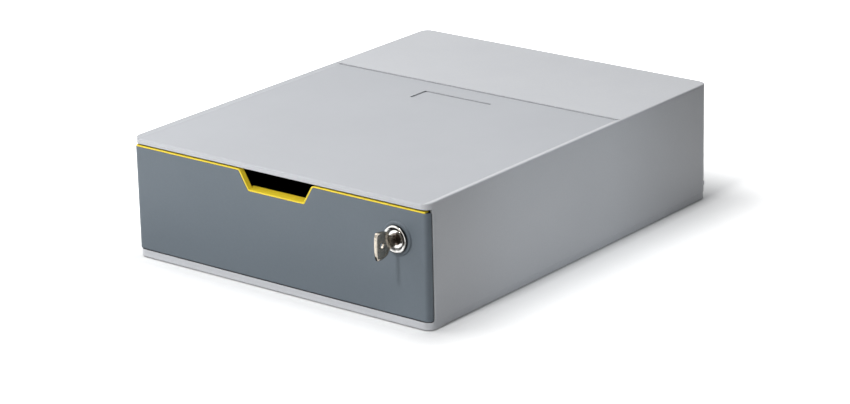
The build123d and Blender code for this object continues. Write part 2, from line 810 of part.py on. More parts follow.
# Cam, pointing to the left while the drawer is free.
with BuildPart() as lock_cam:
    with BuildSketch(lock_at(cam_depth)):
        Circle(cam_hub_radius)
        with Locations((-(cam_reach - cam_width / 2) / 2, 0)):
            Rectangle(cam_reach - cam_width / 2, cam_width)
        with Locations((-(cam_reach - cam_width / 2), 0)):
            Circle(cam_width / 2)
        Rectangle(square_drive + 2 * drive_gap, square_drive + 2 * drive_gap, mode=Mode.SUBTRACT)
    extrude(amount=-cam_thickness)
lock_cam.part.label = "lock_cam"
export_step(lock_cam.part, "parts/lock_cam.step")

# Washer and screw that hold the cam on its square.
with BuildPart() as cam_washer:
    with BuildSketch(lock_at(cam_rear_depth)):
        Circle(cam_washer_radius)
        Circle(cam_screw_radius + head_hole_gap, mode=Mode.SUBTRACT)
    extrude(amount=-cam_washer_thickness)
cam_washer.part.label = "cam_washer"
export_step(cam_washer.part, "parts/cam_washer.step")

with BuildPart() as cam_screw:
    with BuildSketch(lock_at(cam_rear_depth + cam_washer_thickness)):
        Circle(cam_screw_head_radius)
    extrude(amount=-cam_screw_head_height)
    fillet(cam_screw.edges().sort_by(Axis.Y)[-1], cam_screw_head_height / 2)
    with BuildSketch(lock_at(cam_rear_depth + cam_washer_thickness + cam_screw_head_height)):
        Rectangle(cam_screw_head_radius, cam_screw_radius / 2)
        Rectangle(cam_screw_radius / 2, cam_screw_head_radius)
    extrude(amount=cam_screw_head_height / 2, mode=Mode.SUBTRACT)
    with BuildSketch(lock_at(cam_rear_depth + cam_washer_thickness)):
        Circle(cam_screw_radius)
    extrude(amount=cam_screw_length)
cam_screw.part.label = "cam_screw"
export_step(cam_screw.part, "parts/cam_screw.step")

# Wafers, each with a window for the key and an ear that stands on its spring.
for index, depth in enumerate(wafer_depths):
    with BuildPart() as wafer:
        with BuildSketch(lock_at(depth)):
            Rectangle(2 * wafer_half_width, 2 * wafer_half_height)
            with Locations((wafer_half_width + (ear_reach - wafer_gap) / 2, ear_height / 2)):
                Rectangle(ear_reach + wafer_gap, ear_height)
            with Locations((0, -wafer_lift / 2)):
                Rectangle(
                    blade_thickness + 2 * blade_gap,
                    2 * (blade_half_height + blade_gap) + wafer_lift,
                    mode=Mode.SUBTRACT,
                )
        extrude(amount=-wafer_thickness)
    wafer.part.label = f"wafer_{index + 1}"
    export_step(wafer.part, f"parts/wafer_{index + 1}.step")

# The wafers' springs, as plain posts of their outer size.
with BuildPart() as wafer_springs:
    with BuildSketch(plan_at(lock_z - spring_length)):
        for depth in wafer_depths:
            spring_x = lock_x + wafer_half_width + wafer_gap + ear_reach / 2
            with Locations((spring_x, front_y + depth + wafer_thickness / 2)):
                Circle(spring_radius)
    extrude(amount=spring_length)
wafer_springs.part.label = "wafer_springs"
export_step(wafer_springs.part, "parts/wafer_springs.step")

# Key: blade with cuts, neck and a fan-shaped bow with a hole.
key_plane = Plane(
    (lock_x - blade_thickness / 2, front_y, lock_z), x_dir=(0, 1, 0), z_dir=(1, 0, 0)
)
neck_depth = key_shoulder_depth - neck_length
bow_end_depth = neck_depth - bow_depth
with BuildPart() as lock_key:
    with BuildSketch(key_plane):
        with BuildLine() as upper_edge:
            Polyline(
                (blade_tip_depth, 0),
                (blade_tip_depth, blade_half_height - blade_tip),
                (blade_tip_depth - blade_tip, blade_half_height),
                (key_shoulder_depth, blade_half_height),
                (key_shoulder_depth, neck_half_height),
                (neck_depth, neck_half_height),
            )
            Spline(
                (neck_depth, neck_half_height),
                (neck_depth - bow_shoulder_depth, bow_shoulder_height),
                (bow_end_depth + bow_bulge, bow_half_height),
                tangents=[(-1, 0), (-1, 0)],
            )
            Bezier(
                (bow_end_depth + bow_bulge, bow_half_height),
                (bow_end_depth, bow_half_height / 2),
                (bow_end_depth, 0),
            )
            mirror(about=Plane.XZ)
        make_face()
    extrude(amount=blade_thickness)
    bow_edges = lock_key.edges().filter_by_position(
        Axis.Y, front_y + bow_end_depth - overrun, front_y + neck_depth - key_edge_radius
    )
    fillet(bow_edges.filter_by(lambda edge: abs(edge.tangent_at(0.5).X) < 0.5), key_edge_radius)
    with BuildSketch(key_plane):
        with Locations((bow_end_depth + bow_hole_inset, 0)):
            Circle(bow_hole_radius)
        for index, depth in enumerate(wafer_depths):
            cut = blade_cut_depth * (1 + index % 3) / 3
            with Locations((depth + wafer_thickness / 2, blade_half_height)):
                Rectangle(wafer_thickness, 2 * cut)
    extrude(amount=blade_thickness, mode=Mode.SUBTRACT)
lock_key.part.label = "lock_key"
export_step(lock_key.part, "parts/lock_key.step")
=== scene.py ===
"""Looks of a desktop drawer box with one lockable drawer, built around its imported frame."""
import logging
import math
from dataclasses import dataclass
from enum import Enum
from typing import Callable, Sequence

import bmesh
import bpy
from mathutils import Matrix, Vector


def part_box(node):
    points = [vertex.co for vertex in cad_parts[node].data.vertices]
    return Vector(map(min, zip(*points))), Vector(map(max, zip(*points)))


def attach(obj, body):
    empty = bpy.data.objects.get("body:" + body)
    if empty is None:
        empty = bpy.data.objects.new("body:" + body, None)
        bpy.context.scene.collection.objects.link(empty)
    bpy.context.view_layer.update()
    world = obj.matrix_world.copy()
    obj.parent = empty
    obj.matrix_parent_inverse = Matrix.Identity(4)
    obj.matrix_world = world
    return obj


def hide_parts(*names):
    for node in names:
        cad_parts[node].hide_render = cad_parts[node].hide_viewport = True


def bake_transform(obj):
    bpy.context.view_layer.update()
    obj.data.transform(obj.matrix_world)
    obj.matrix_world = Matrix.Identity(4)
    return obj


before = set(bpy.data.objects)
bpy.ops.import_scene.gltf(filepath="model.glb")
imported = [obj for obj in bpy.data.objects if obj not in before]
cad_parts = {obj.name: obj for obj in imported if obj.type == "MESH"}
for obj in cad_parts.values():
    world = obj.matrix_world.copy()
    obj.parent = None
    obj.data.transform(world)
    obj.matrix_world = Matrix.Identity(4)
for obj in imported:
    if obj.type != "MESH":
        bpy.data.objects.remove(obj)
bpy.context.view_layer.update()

logging.basicConfig(level=logging.INFO, format="%(name)s: %(message)s")
LOG = logging.getLogger("drawer_box")

MM = 0.001
FULL_TURN = 2 * math.pi
RIGHT, BACK, UP = Vector((1, 0, 0)), Vector((0, 1, 0)), Vector((0, 0, 1))
WHITE = (1.0, 1.0, 1.0)
UNIT = (0.0, 1.0)

Triple = tuple[float, float, float]
Colour = Triple
Point = tuple[float, float]
Ring = list[Vector]
Socket = bpy.types.NodeSocket
Solid = bpy.types.Object


class Body(Enum):
    """The bodies of the frame that pieces ride on."""

    HOUSING = "housing"
    DRAWER = "drawer"
    LOCK_CORE = "lock_core"
    WAFERS = "wafers"
    KEY = "key"


class Slot(Enum):
    """The record's material slots, handed to finish_piece, which does not read them."""

    FOOT = "foot_rubber"
    CHROME = "lock_chrome"
    NICKEL = "key_nickel"
    ZINC = "zinc_steel"
    SPRING = "spring_steel"


# --------------------------------------------------------------------------- shaders


@dataclass(frozen=True)
class Pattern:
    """Noise in waves per metre, with the part that is taken from it and what it becomes."""

    scale: float
    detail: float = 2.0
    roughness: float = 0.5
    taken: Point = (0.3, 0.7)
    given: Point = UNIT


class Tree:
    """A node tree, with short ways to add what the finishes and the room share."""

    def __init__(self, tree: bpy.types.NodeTree) -> None:
        """Empty the tree.

        Args:
            tree: Blender's node tree.
        """
        self.tree = tree
        tree.nodes.clear()

    def node(
        self, kind: str, inputs: dict[str | int, object], output: str | int = 0, **settings: object
    ) -> Socket:
        """Add a node.

        Args:
            kind: Blender's name for its type, without the prefix.
            inputs: A constant or another node's output for each input.
            output: The output that is wanted.
            **settings: The node's own properties.

        Returns:
            The wanted output.
        """
        made = self.tree.nodes.new(f"ShaderNode{kind}")
        for name, value in settings.items():
            setattr(made, name, value)
        for name, value in inputs.items():
            target = made.inputs[name]
            if isinstance(value, Socket):
                self.tree.links.new(value, target)
            else:
                target.default_value = (*value, 1.0) if target.type == "RGBA" else value
        return made.outputs[output]

    def end(self, kind: str, surface: Socket) -> None:
        """Add the tree's output node.

        Args:
            kind: Blender's name for its type, without the prefix.
            surface: The shader that it shows.
        """
        output = self.tree.nodes.new(f"ShaderNode{kind}")
        self.tree.links.new(surface, output.inputs["Surface"])

    def ranged(self, value: Socket, source: Point, target: Point) -> Socket:
        """Carry a value from one range to another, clamped.

        Args:
            value: The value to carry over.
            source: The range it has.
            target: The range it gets.

        Returns:
            The new value.
        """
        names = ("Value", "From Min", "From Max", "To Min", "To Max")
        return self.node("MapRange", dict(zip(names, (value, *source, *target))))

    def math(self, operation: str, first: object, second: object = 0.0) -> Socket:
        """Combine two values.

        Args:
            operation: Blender's name for the operation.
            first: A number or an output.
            second: A number or an output.

        Returns:
            The result.
        """
        return self.node("Math", {0: first, 1: second}, operation=operation)

    def vectors(
        self, operation: str, inputs: dict[str | int, object], output: str = "Vector"
    ) -> Socket:
        """Combine vectors.

        Args:
            operation: Blender's name for the operation.
            inputs: A constant or an output for each input.
            output: The output that is wanted.

        Returns:
            The result.
        """
        return self.node("VectorMath", inputs, output, operation=operation)

    def mixed(self, factor: object, first: object, second: object) -> Socket:
        """Mix two colours.

        Args:
            factor: Share of the second colour.
            first: A colour or an output.
            second: A colour or an output.

        Returns:
            The mixed colour.
        """
        return self.node("Mix", {0: factor, 6: first, 7: second}, 2, data_type="RGBA")

    def seen(self) -> Socket:
        """Tell what is seen, straight, by gloss or through glass, from what only gives light.

        Returns:
            1 for what is seen, otherwise 0.
        """
        names = ("Is Camera Ray", "Is Glossy Ray", "Is Transmission Ray")
        straight, gloss, glass = (self.node("LightPath", {}, name) for name in names)
        return self.math("MAXIMUM", straight, self.math("MAXIMUM", gloss, glass))


class Sheet(Tree):
    """One material's nodes."""

    def __init__(self, name: str) -> None:
        """Start a material.

        Args:
            name: The material's name.
        """
        self.material = bpy.data.materials.new(name)
        self.material.use_nodes = True
        super().__init__(self.material.node_tree)
        self.place = self.node("TexCoord", {}, "Object")

    def axis(self, index: int) -> Socket:
        """One of the object's coordinates.

        Args:
            index: 0 for X, 1 for Y and 2 for Z.

        Returns:
            The coordinate in metres.
        """
        return self.node("SeparateXYZ", {0: self.place}, index)

    def noise(
        self, scale: float, detail: float = 2.0, roughness: float = 0.5, place: Socket | None = None
    ) -> Socket:
        """Soft noise between 0 and 1.

        Args:
            scale: Waves per metre.
            detail: Octaves above the first.
            roughness: Weight of the finer octaves.
            place: Coordinates, or none for the object's own.

        Returns:
            The noise value.
        """
        inputs = {"Vector": place or self.place, "Scale": scale, "Detail": detail}
        return self.node("TexNoise", {**inputs, "Roughness": roughness})

    def patterned(self, pattern: Pattern, given: Point | None = None) -> Socket:
        """A pattern's noise, carried to its range.

        Args:
            pattern: The pattern.
            given: Another range to carry it to.

        Returns:
            The value.
        """
        noise = self.noise(pattern.scale, pattern.detail, pattern.roughness)
        return self.ranged(noise, pattern.taken, given or pattern.given)

    def lines(self, stretch: Triple, detail: float) -> Socket:
        """Noise drawn out into fine lines.

        Args:
            stretch: Waves per metre along X, Y and Z.
            detail: Octaves above the first.

        Returns:
            The noise value.
        """
        place = self.node("Mapping", {"Vector": self.place, "Scale": stretch})
        return self.noise(1.0, detail, 0.6, place)

    def cells(self, scale: float) -> Socket:
        """A random grey for each cell of a Voronoi pattern.

        Args:
            scale: Cells per metre.

        Returns:
            The cell's grey, from 0 to 1.
        """
        colour = self.node("TexVoronoi", {"Vector": self.place, "Scale": scale}, "Color")
        return self.node("SeparateColor", {0: colour})

    def grey(self, tone: Socket) -> Socket:
        """A grey of one tone.

        Args:
            tone: The tone, from 0 to 1.

        Returns:
            The colour.
        """
        return self.node("CombineColor", {0: tone, 1: tone, 2: tone})

    def scaled(self, colour: object, factor: Socket) -> Socket:
        """Make a colour lighter or darker.

        Args:
            colour: A colour or an output.
            factor: What it is multiplied by.

        Returns:
            The new colour.
        """
        return self.vectors("SCALE", {0: colour, "Scale": factor})

    def soft_edges(self, radius: float) -> Socket:
        """Normals that are rounded over at sharp edges.

        Args:
            radius: Radius of the rounding in metres.

        Returns:
            The rounded normal.
        """
        return self.node("Bevel", {"Radius": radius}, samples=4)

    def edge_mask(self, rounded: Socket, sharpness: float) -> Socket:
        """1 on edges and 0 on open faces.

        Args:
            rounded: Normals from soft_edges.
            sharpness: How far the normals turn before the mask is full.

        Returns:
            The mask.
        """
        face = self.node("NewGeometry", {}, "Normal")
        turned = self.vectors("DOT_PRODUCT", {0: rounded, 1: face}, "Value")
        return self.ranged(turned, (1.0, 1.0 - sharpness), UNIT)

    def bump(self, height: Socket, depth: float, normal: Socket) -> Socket:
        """Add a height to a normal.

        Args:
            height: The height, from 0 to 1.
            depth: What a height of 1 stands for, in metres.
            normal: The normal to add it to.

        Returns:
            The bumped normal.
        """
        return self.node("Bump", {"Distance": depth, "Height": height, "Normal": normal})

    def finish(self, looks: dict[str, object], glow: Socket | None = None) -> bpy.types.Material:
        """Add the shader and the output.

        Args:
            looks: A constant or an output for each input of the shader.
            glow: A light that the surface also gives.

        Returns:
            The material.
        """
        surface = self.node("BsdfPrincipled", looks)
        if glow is not None:
            surface = self.node("AddShader", {0: surface, 1: glow})
        self.end("OutputMaterial", surface)
        return self.material


@dataclass(frozen=True)
class MouldedPlastic:
    """Injection moulded plastic with a spark-eroded grain and shade painted into its seams."""

    name: str
    colour: Colour
    shade: Colour
    roughness: float = 0.5
    roughness_spread: float = 0.05
    grain: float = 1900.0
    grain_depth: float = 0.008 * MM
    wave: float = 14.0
    wave_depth: float = 0.12 * MM
    edge_radius: float = 0.35 * MM
    edge_colour: Colour | None = None
    edge_turn: float = 0.3
    gloss: float = 0.5
    refraction: float = 1.49
    # Painted shade in seams: ambient occlusion within this reach darkens the colour, down to this tone.
    painted_shade_reach: float = 2.5 * MM
    painted_shade_tone: float = 0.14
    painted_shade_range: Point = (0.3, 0.8)
    clouds: Pattern = Pattern(9.0, 3.0, given=(0.0, 0.55))
    flecks: Pattern = Pattern(650.0, taken=(0.35, 0.65), given=(0.0, 0.45))
    rubbing: Pattern = Pattern(70.0, 4.0, 0.7, (0.42, 0.68), (0.1, 0.8))
    dullness: Pattern = Pattern(26.0, 4.0, 0.65)

    def surface(self, sheet: Sheet) -> Socket:
        """The colour of the plastic, with clouds from the moulding.

        Args:
            sheet: The material's sheet.

        Returns:
            The colour.
        """
        share = sheet.math("ADD", sheet.patterned(self.clouds), sheet.patterned(self.flecks))
        return sheet.mixed(share, self.colour, self.shade)

    def relief(self, sheet: Sheet, rounded: Socket) -> Socket:
        """The grain and the mould's slight waves.

        Args:
            sheet: The material's sheet.
            rounded: Normals that are rounded at edges.

        Returns:
            The normal.
        """
        waves = sheet.bump(sheet.noise(self.wave, 1.0), self.wave_depth, rounded)
        return sheet.bump(sheet.noise(self.grain, 2.0, 0.6), self.grain_depth, waves)

    def polish(self, sheet: Sheet) -> Socket:
        """How dull the plastic is, a little uneven.

        Args:
            sheet: The material's sheet.

        Returns:
            The roughness.
        """
        low, high = self.roughness - self.roughness_spread, self.roughness + self.roughness_spread
        return sheet.patterned(self.dullness, (low, high))

    def with_painted_seam_shade(self, sheet: Sheet, colour: Socket) -> Socket:
        """Paint shade into the colour in narrow gaps between the mouldings and near other surfaces.

        Args:
            sheet: The material's sheet.
            colour: The plain colour.

        Returns:
            The colour with painted shade in its seams.
        """
        # Painted shade: the colour darkens where ambient occlusion finds other surfaces near.
        narrow = sheet.node("AmbientOcclusion", {"Distance": self.painted_shade_reach}, "AO", samples=6)
        return sheet.scaled(colour, sheet.ranged(narrow, self.painted_shade_range, (self.painted_shade_tone, 1.0)))

    def material(self) -> bpy.types.Material:
        """Build the material."""
        sheet = Sheet(self.name)
        rounded = sheet.soft_edges(self.edge_radius)
        colour = self.surface(sheet)
        if self.edge_colour:
            edges = sheet.edge_mask(rounded, self.edge_turn)
            rubbed = sheet.math("MULTIPLY", edges, sheet.patterned(self.rubbing))
            colour = sheet.mixed(rubbed, colour, self.edge_colour)
        return sheet.finish(
            {
                "Base Color": self.with_painted_seam_shade(sheet, colour),
                "Roughness": self.polish(sheet),
                "Normal": self.relief(sheet, rounded),
                "IOR": self.refraction,
                "Specular IOR Level": self.gloss,
            }
        )


@dataclass(frozen=True)
class TwoTextureShell(MouldedPlastic):
    """The housing's plastic, with a darker colour and a duller finish in the recess of the top."""

    recess_colour: Colour = (0.5, 0.5, 0.5)
    recess_low: float = 92.9 * MM
    recess_half_width: float = 134.6 * MM
    recess_end: float = 71.85 * MM
    recess_dullness: float = 0.16
    recess_clouds: Pattern = Pattern(7.0, 3.0, given=(0.97, 1.02))

    def recess_mask(self, sheet: Sheet) -> Socket:
        """1 in the recess of the top and 0 elsewhere.

        Args:
            sheet: The material's sheet.

        Returns:
            The mask.
        """
        across = sheet.math("ABSOLUTE", sheet.axis(0))
        inside = sheet.math("LESS_THAN", across, self.recess_half_width)
        before = sheet.math("LESS_THAN", sheet.axis(1), self.recess_end)
        above = sheet.math("GREATER_THAN", sheet.axis(2), self.recess_low)
        return sheet.math("MULTIPLY", inside, sheet.math("MULTIPLY", before, above))

    def surface(self, sheet: Sheet) -> Socket:
        """The shell's colour outside the recess, and the darker one inside it."""
        recess = sheet.scaled(self.recess_colour, sheet.patterned(self.recess_clouds))
        return sheet.mixed(self.recess_mask(sheet), super().surface(sheet), recess)

    def polish(self, sheet: Sheet) -> Socket:
        """The shell's roughness, with the recess duller than the rest."""
        duller = sheet.math("MULTIPLY", self.recess_mask(sheet), self.recess_dullness)
        return sheet.math("ADD", super().polish(sheet), duller)


@dataclass(frozen=True)
class PolishedMetal:
    """Plated metal, polished over the marks of turning or grinding."""

    name: str
    colour: Colour
    tarnish: Colour
    roughness: float = 0.09
    centre: Triple | None = None
    marks: float = 2600.0
    grinding: Triple = (500.0, 700.0, 5200.0)
    mark_depth: float = 0.0012 * MM
    edge_radius: float = 0.12 * MM
    # Painted shade on the flange's side: the colour darkens behind this depth, over this fade, to this
    # tone.
    painted_side_shade_from: float | None = None
    painted_side_shade_fade: float = 0.3 * MM
    painted_side_shade_tone: float = 0.12
    rim_radius: float | None = None
    rim_colour: Colour = (0.68, 0.67, 0.65)
    haze: Pattern = Pattern(420.0, 4.0, 0.6, (0.5, 0.78), (0.0, 0.8))
    wear: Pattern = Pattern(900.0, 3.0, 0.7, (0.3, 0.75))
    wear_range: Point = (0.7, 1.9)

    def from_axis(self, sheet: Sheet) -> Socket:
        """Distance from the axis that the piece was turned about.

        Args:
            sheet: The material's sheet.

        Returns:
            The distance in metres.
        """
        offset = sheet.vectors("SUBTRACT", {0: sheet.place, 1: self.centre})
        flat = sheet.vectors("MULTIPLY", {0: offset, 1: (1.0, 0.0, 1.0)})
        return sheet.vectors("LENGTH", {0: flat}, "Value")

    def turned(self, sheet: Sheet) -> Socket:
        """Fine rings about the axis, or fine grinding lines if there is no axis.

        Args:
            sheet: The material's sheet.

        Returns:
            The height of the marks.
        """
        if self.centre is None:
            return sheet.lines(self.grinding, 2.0)
        rings = sheet.math("MULTIPLY", self.from_axis(sheet), self.marks)
        inputs = {"W": rings, "Scale": 1.0, "Detail": 3.0}
        return sheet.node("TexNoise", inputs, noise_dimensions="1D")

    def material(self) -> bpy.types.Material:
        """Build the material."""
        sheet = Sheet(self.name)
        colour = sheet.mixed(sheet.patterned(self.haze), self.colour, self.tarnish)
        if self.rim_radius is not None:
            rim = sheet.math("GREATER_THAN", self.from_axis(sheet), self.rim_radius)
            colour = sheet.mixed(rim, colour, self.rim_colour)
        # Painted shade: the flange's side behind its face is darkened, standing in for the collar's
        # shade.
        if self.painted_side_shade_from is not None:
            fade = (self.painted_side_shade_from, self.painted_side_shade_from + self.painted_side_shade_fade)
            tone = sheet.ranged(sheet.axis(1), fade, (1.0, self.painted_side_shade_tone))
            colour = sheet.scaled(colour, tone)
        low, high = (self.roughness * share for share in self.wear_range)
        rounded = sheet.soft_edges(self.edge_radius)
        return sheet.finish(
            {
                "Base Color": colour,
                "Metallic": 1.0,
                "Roughness": sheet.patterned(self.wear, (low, high)),
                "Normal": sheet.bump(self.turned(sheet), self.mark_depth, rounded),
            }
        )


@dataclass(frozen=True)
class PlatedSteel:
    """Stamped or drawn metal with a dull plating in small crystals."""

    name: str
    colour: Colour = (0.56, 0.56, 0.55)
    crystal: Colour = (0.74, 0.74, 0.72)
    roughness: float = 0.33
    cell: float = 1500.0
    edge_radius: float = 0.15 * MM
    clouds: Pattern = Pattern(120.0, given=(0.3, 1.0))
    dull_range: Point = (0.8, 1.25)
    scratches: Triple = (900.0, 300.0, 3600.0)
    scratch_depth: float = 0.003 * MM

    def material(self) -> bpy.types.Material:
        """Build the material."""
        sheet = Sheet(self.name)
        spangle = sheet.cells(self.cell)
        tone = sheet.math("MULTIPLY", spangle, sheet.patterned(self.clouds))
        low, high = (self.roughness * share for share in self.dull_range)
        rounded = sheet.soft_edges(self.edge_radius)
        scratches = sheet.lines(self.scratches, 3.0)
        return sheet.finish(
            {
                "Base Color": sheet.mixed(tone, self.colour, self.crystal),
                "Metallic": 1.0,
                "Roughness": sheet.ranged(spangle, UNIT, (low, high)),
                "Normal": sheet.bump(scratches, self.scratch_depth, rounded),
            }
        )


@dataclass(frozen=True)
class MattRubber:
    """Soft black rubber with a bloom of dust."""

    name: str
    colour: Colour
    dust: Colour
    bloom: Pattern = Pattern(260.0, 5.0, 0.7, (0.5, 0.8), (0.0, 0.5))
    dullness: Pattern = Pattern(500.0, given=(0.72, 0.92))
    grain: float = 3000.0
    grain_depth: float = 0.01 * MM
    edge_radius: float = 0.2 * MM

    def material(self) -> bpy.types.Material:
        """Build the material."""
        sheet = Sheet(self.name)
        rounded = sheet.soft_edges(self.edge_radius)
        return sheet.finish(
            {
                "Base Color": sheet.mixed(sheet.patterned(self.bloom), self.colour, self.dust),
                "Roughness": sheet.patterned(self.dullness),
                "Normal": sheet.bump(sheet.noise(self.grain), self.grain_depth, rounded),
            }
        )


@dataclass(frozen=True)
class PaleFloor:
    """A matt white table with a painted glow where it is seen: faint at the box, so that the box's
    shadow shows, and full a short way out, where the shadow is cut off and the far parts run into the
    white of the room.
    """

    name: str = "pale_floor"
    albedo: float = 0.78
    albedo_spread: float = 1.015
    roughness: float = 0.9
    gloss: float = 0.1
    # Painted glow: the floor glows faintly at the box's outline and fully a short way out, which cuts
    # its shadow short.
    painted_glow_at_box: float = 0.1
    painted_glow_reach: float = 0.09
    box_middle: Point = (0.0, 0.0124)
    box_half: Point = (0.14, 0.178)
    grain: Pattern = Pattern(40.0, 3.0)

    def beyond(self, sheet: Sheet, index: int) -> Socket:
        """How far a point lies outside the box along one axis.

        Args:
            sheet: The material's sheet.
            index: 0 for X and 1 for Y.

        Returns:
            The distance, 0 beside or under the box.
        """
        offset = sheet.math("SUBTRACT", sheet.axis(index), self.box_middle[index])
        outside = sheet.math("SUBTRACT", sheet.math("ABSOLUTE", offset), self.box_half[index])
        return sheet.math("MAXIMUM", outside, 0.0)

    def material(self) -> bpy.types.Material:
        """Build the material."""
        sheet = Sheet(self.name)
        grain = sheet.patterned(self.grain, (self.albedo, self.albedo * self.albedo_spread))
        # Painted light: the glow for seen rays rises with distance from the box's outline.
        squares = [sheet.math("POWER", self.beyond(sheet, index), 2.0) for index in (0, 1)]
        away = sheet.math("SQRT", sheet.math("ADD", *squares))
        glow = sheet.ranged(away, (0.0, self.painted_glow_reach), (self.painted_glow_at_box, 1.0))
        light = sheet.node("Emission", {"Strength": sheet.math("MULTIPLY", sheet.seen(), glow)})
        looks = {"Roughness": self.roughness, "Specular IOR Level": self.gloss}
        return sheet.finish({"Base Color": sheet.grey(grain), **looks}, light)


@dataclass(frozen=True)
class BlackCloth:
    """The cloth of the studio's cards."""

    name: str
    roughness: float = 0.95
    weave: Pattern = Pattern(90.0, 3.0, given=(0.01, 0.02))

    def material(self) -> bpy.types.Material:
        """Build the material."""
        sheet = Sheet(self.name)
        tone = sheet.grey(sheet.patterned(self.weave))
        return sheet.finish({"Base Color": tone, "Roughness": self.roughness})


# --------------------------------------------------------------------------- meshes


def linked(name: str, data: bpy.types.ID) -> Solid:
    """Put new data into the scene.

    Args:
        name: The object's name.
        data: A mesh, a curve, a lamp or a camera.

    Returns:
        The new object.
    """
    made = bpy.data.objects.new(name, data)
    bpy.context.scene.collection.objects.link(made)
    return made


def straightened(mesh: bpy.types.Mesh, weld: float = 0.0) -> None:
    """Weld near points of a mesh and turn its normals outwards.

    Args:
        mesh: The mesh.
        weld: Distance that is welded, or 0 for none.
    """
    work = bmesh.new()
    work.from_mesh(mesh)
    if weld:
        bmesh.ops.remove_doubles(work, verts=work.verts, dist=weld)
    bmesh.ops.recalc_face_normals(work, faces=work.faces)
    work.to_mesh(mesh)
    work.free()


def placed(name: str, points: Sequence[Vector], faces: Sequence[Sequence[int]]) -> Solid:
    """Make a mesh object from points and faces, with its normals outwards.

    Args:
        name: The object's name.
        points: Vertices in metres, in the frame.
        faces: Indices of each face.

    Returns:
        The new object, in the scene.
    """
    mesh = bpy.data.meshes.new(name)
    mesh.from_pydata([tuple(point) for point in points], [], [tuple(face) for face in faces])
    straightened(mesh)
    return linked(name, mesh)


def skinned(name: str, rings: Sequence[Ring], hollow: bool) -> Solid:
    """Bridge rings of points that run once round an axis.

    Args:
        name: The object's name.
        rings: Rings with equally many points.
        hollow: Whether the last ring joins the first, or both ends are closed.

    Returns:
        The new object.
    """
    count, total = len(rings[0]), len(rings[0]) * len(rings)
    faces = []
    for here in range(0, total if hollow else total - count, count):
        above = (here + count) % total
        for column in range(count):
            beside = (column + 1) % count
            faces.append((here + column, here + beside, above + beside, above + column))
    if not hollow:
        faces += [range(count), range(total - count, total)]
    return placed(name, [point for ring in rings for point in ring], faces)


def shaded(made: Solid, angle: float = 32.0) -> Solid:
    """Shade an object smooth, but for edges sharper than an angle.

    Args:
        made: The object.
        angle: The angle in degrees.

    Returns:
        The same object.
    """
    made.data.shade_smooth()
    made.data.set_sharp_from_angle(angle=math.radians(angle))
    return made


def final_mesh(made: Solid) -> bpy.types.Mesh:
    """The mesh that an object has after its modifiers.

    Args:
        made: The object.

    Returns:
        A new mesh.
    """
    bpy.context.view_layer.update()
    graph = bpy.context.evaluated_depsgraph_get()
    return bpy.data.meshes.new_from_object(made.evaluated_get(graph))


def carve(target: Solid, tool: Solid) -> None:
    """Cut one closed mesh out of another and remove the cutter.

    Args:
        target: The mesh that changes.
        tool: The cutter.
    """
    step = target.modifiers.new("carve", "BOOLEAN")
    step.operation = "DIFFERENCE"
    step.solver = "EXACT"
    step.object = tool
    final = final_mesh(target)
    target.modifiers.clear()
    target.data = final
    bpy.data.objects.remove(tool)


def merged(name: str, parts: Sequence[Solid]) -> Solid:
    """Put several meshes into one object and remove the single ones.

    Args:
        name: Name of the joint object.
        parts: The objects.

    Returns:
        The joint object.
    """
    work = bmesh.new()
    for part in parts:
        work.from_mesh(part.data)
        bpy.data.objects.remove(part)
    mesh = bpy.data.meshes.new(name)
    work.to_mesh(mesh)
    work.free()
    return linked(name, mesh)


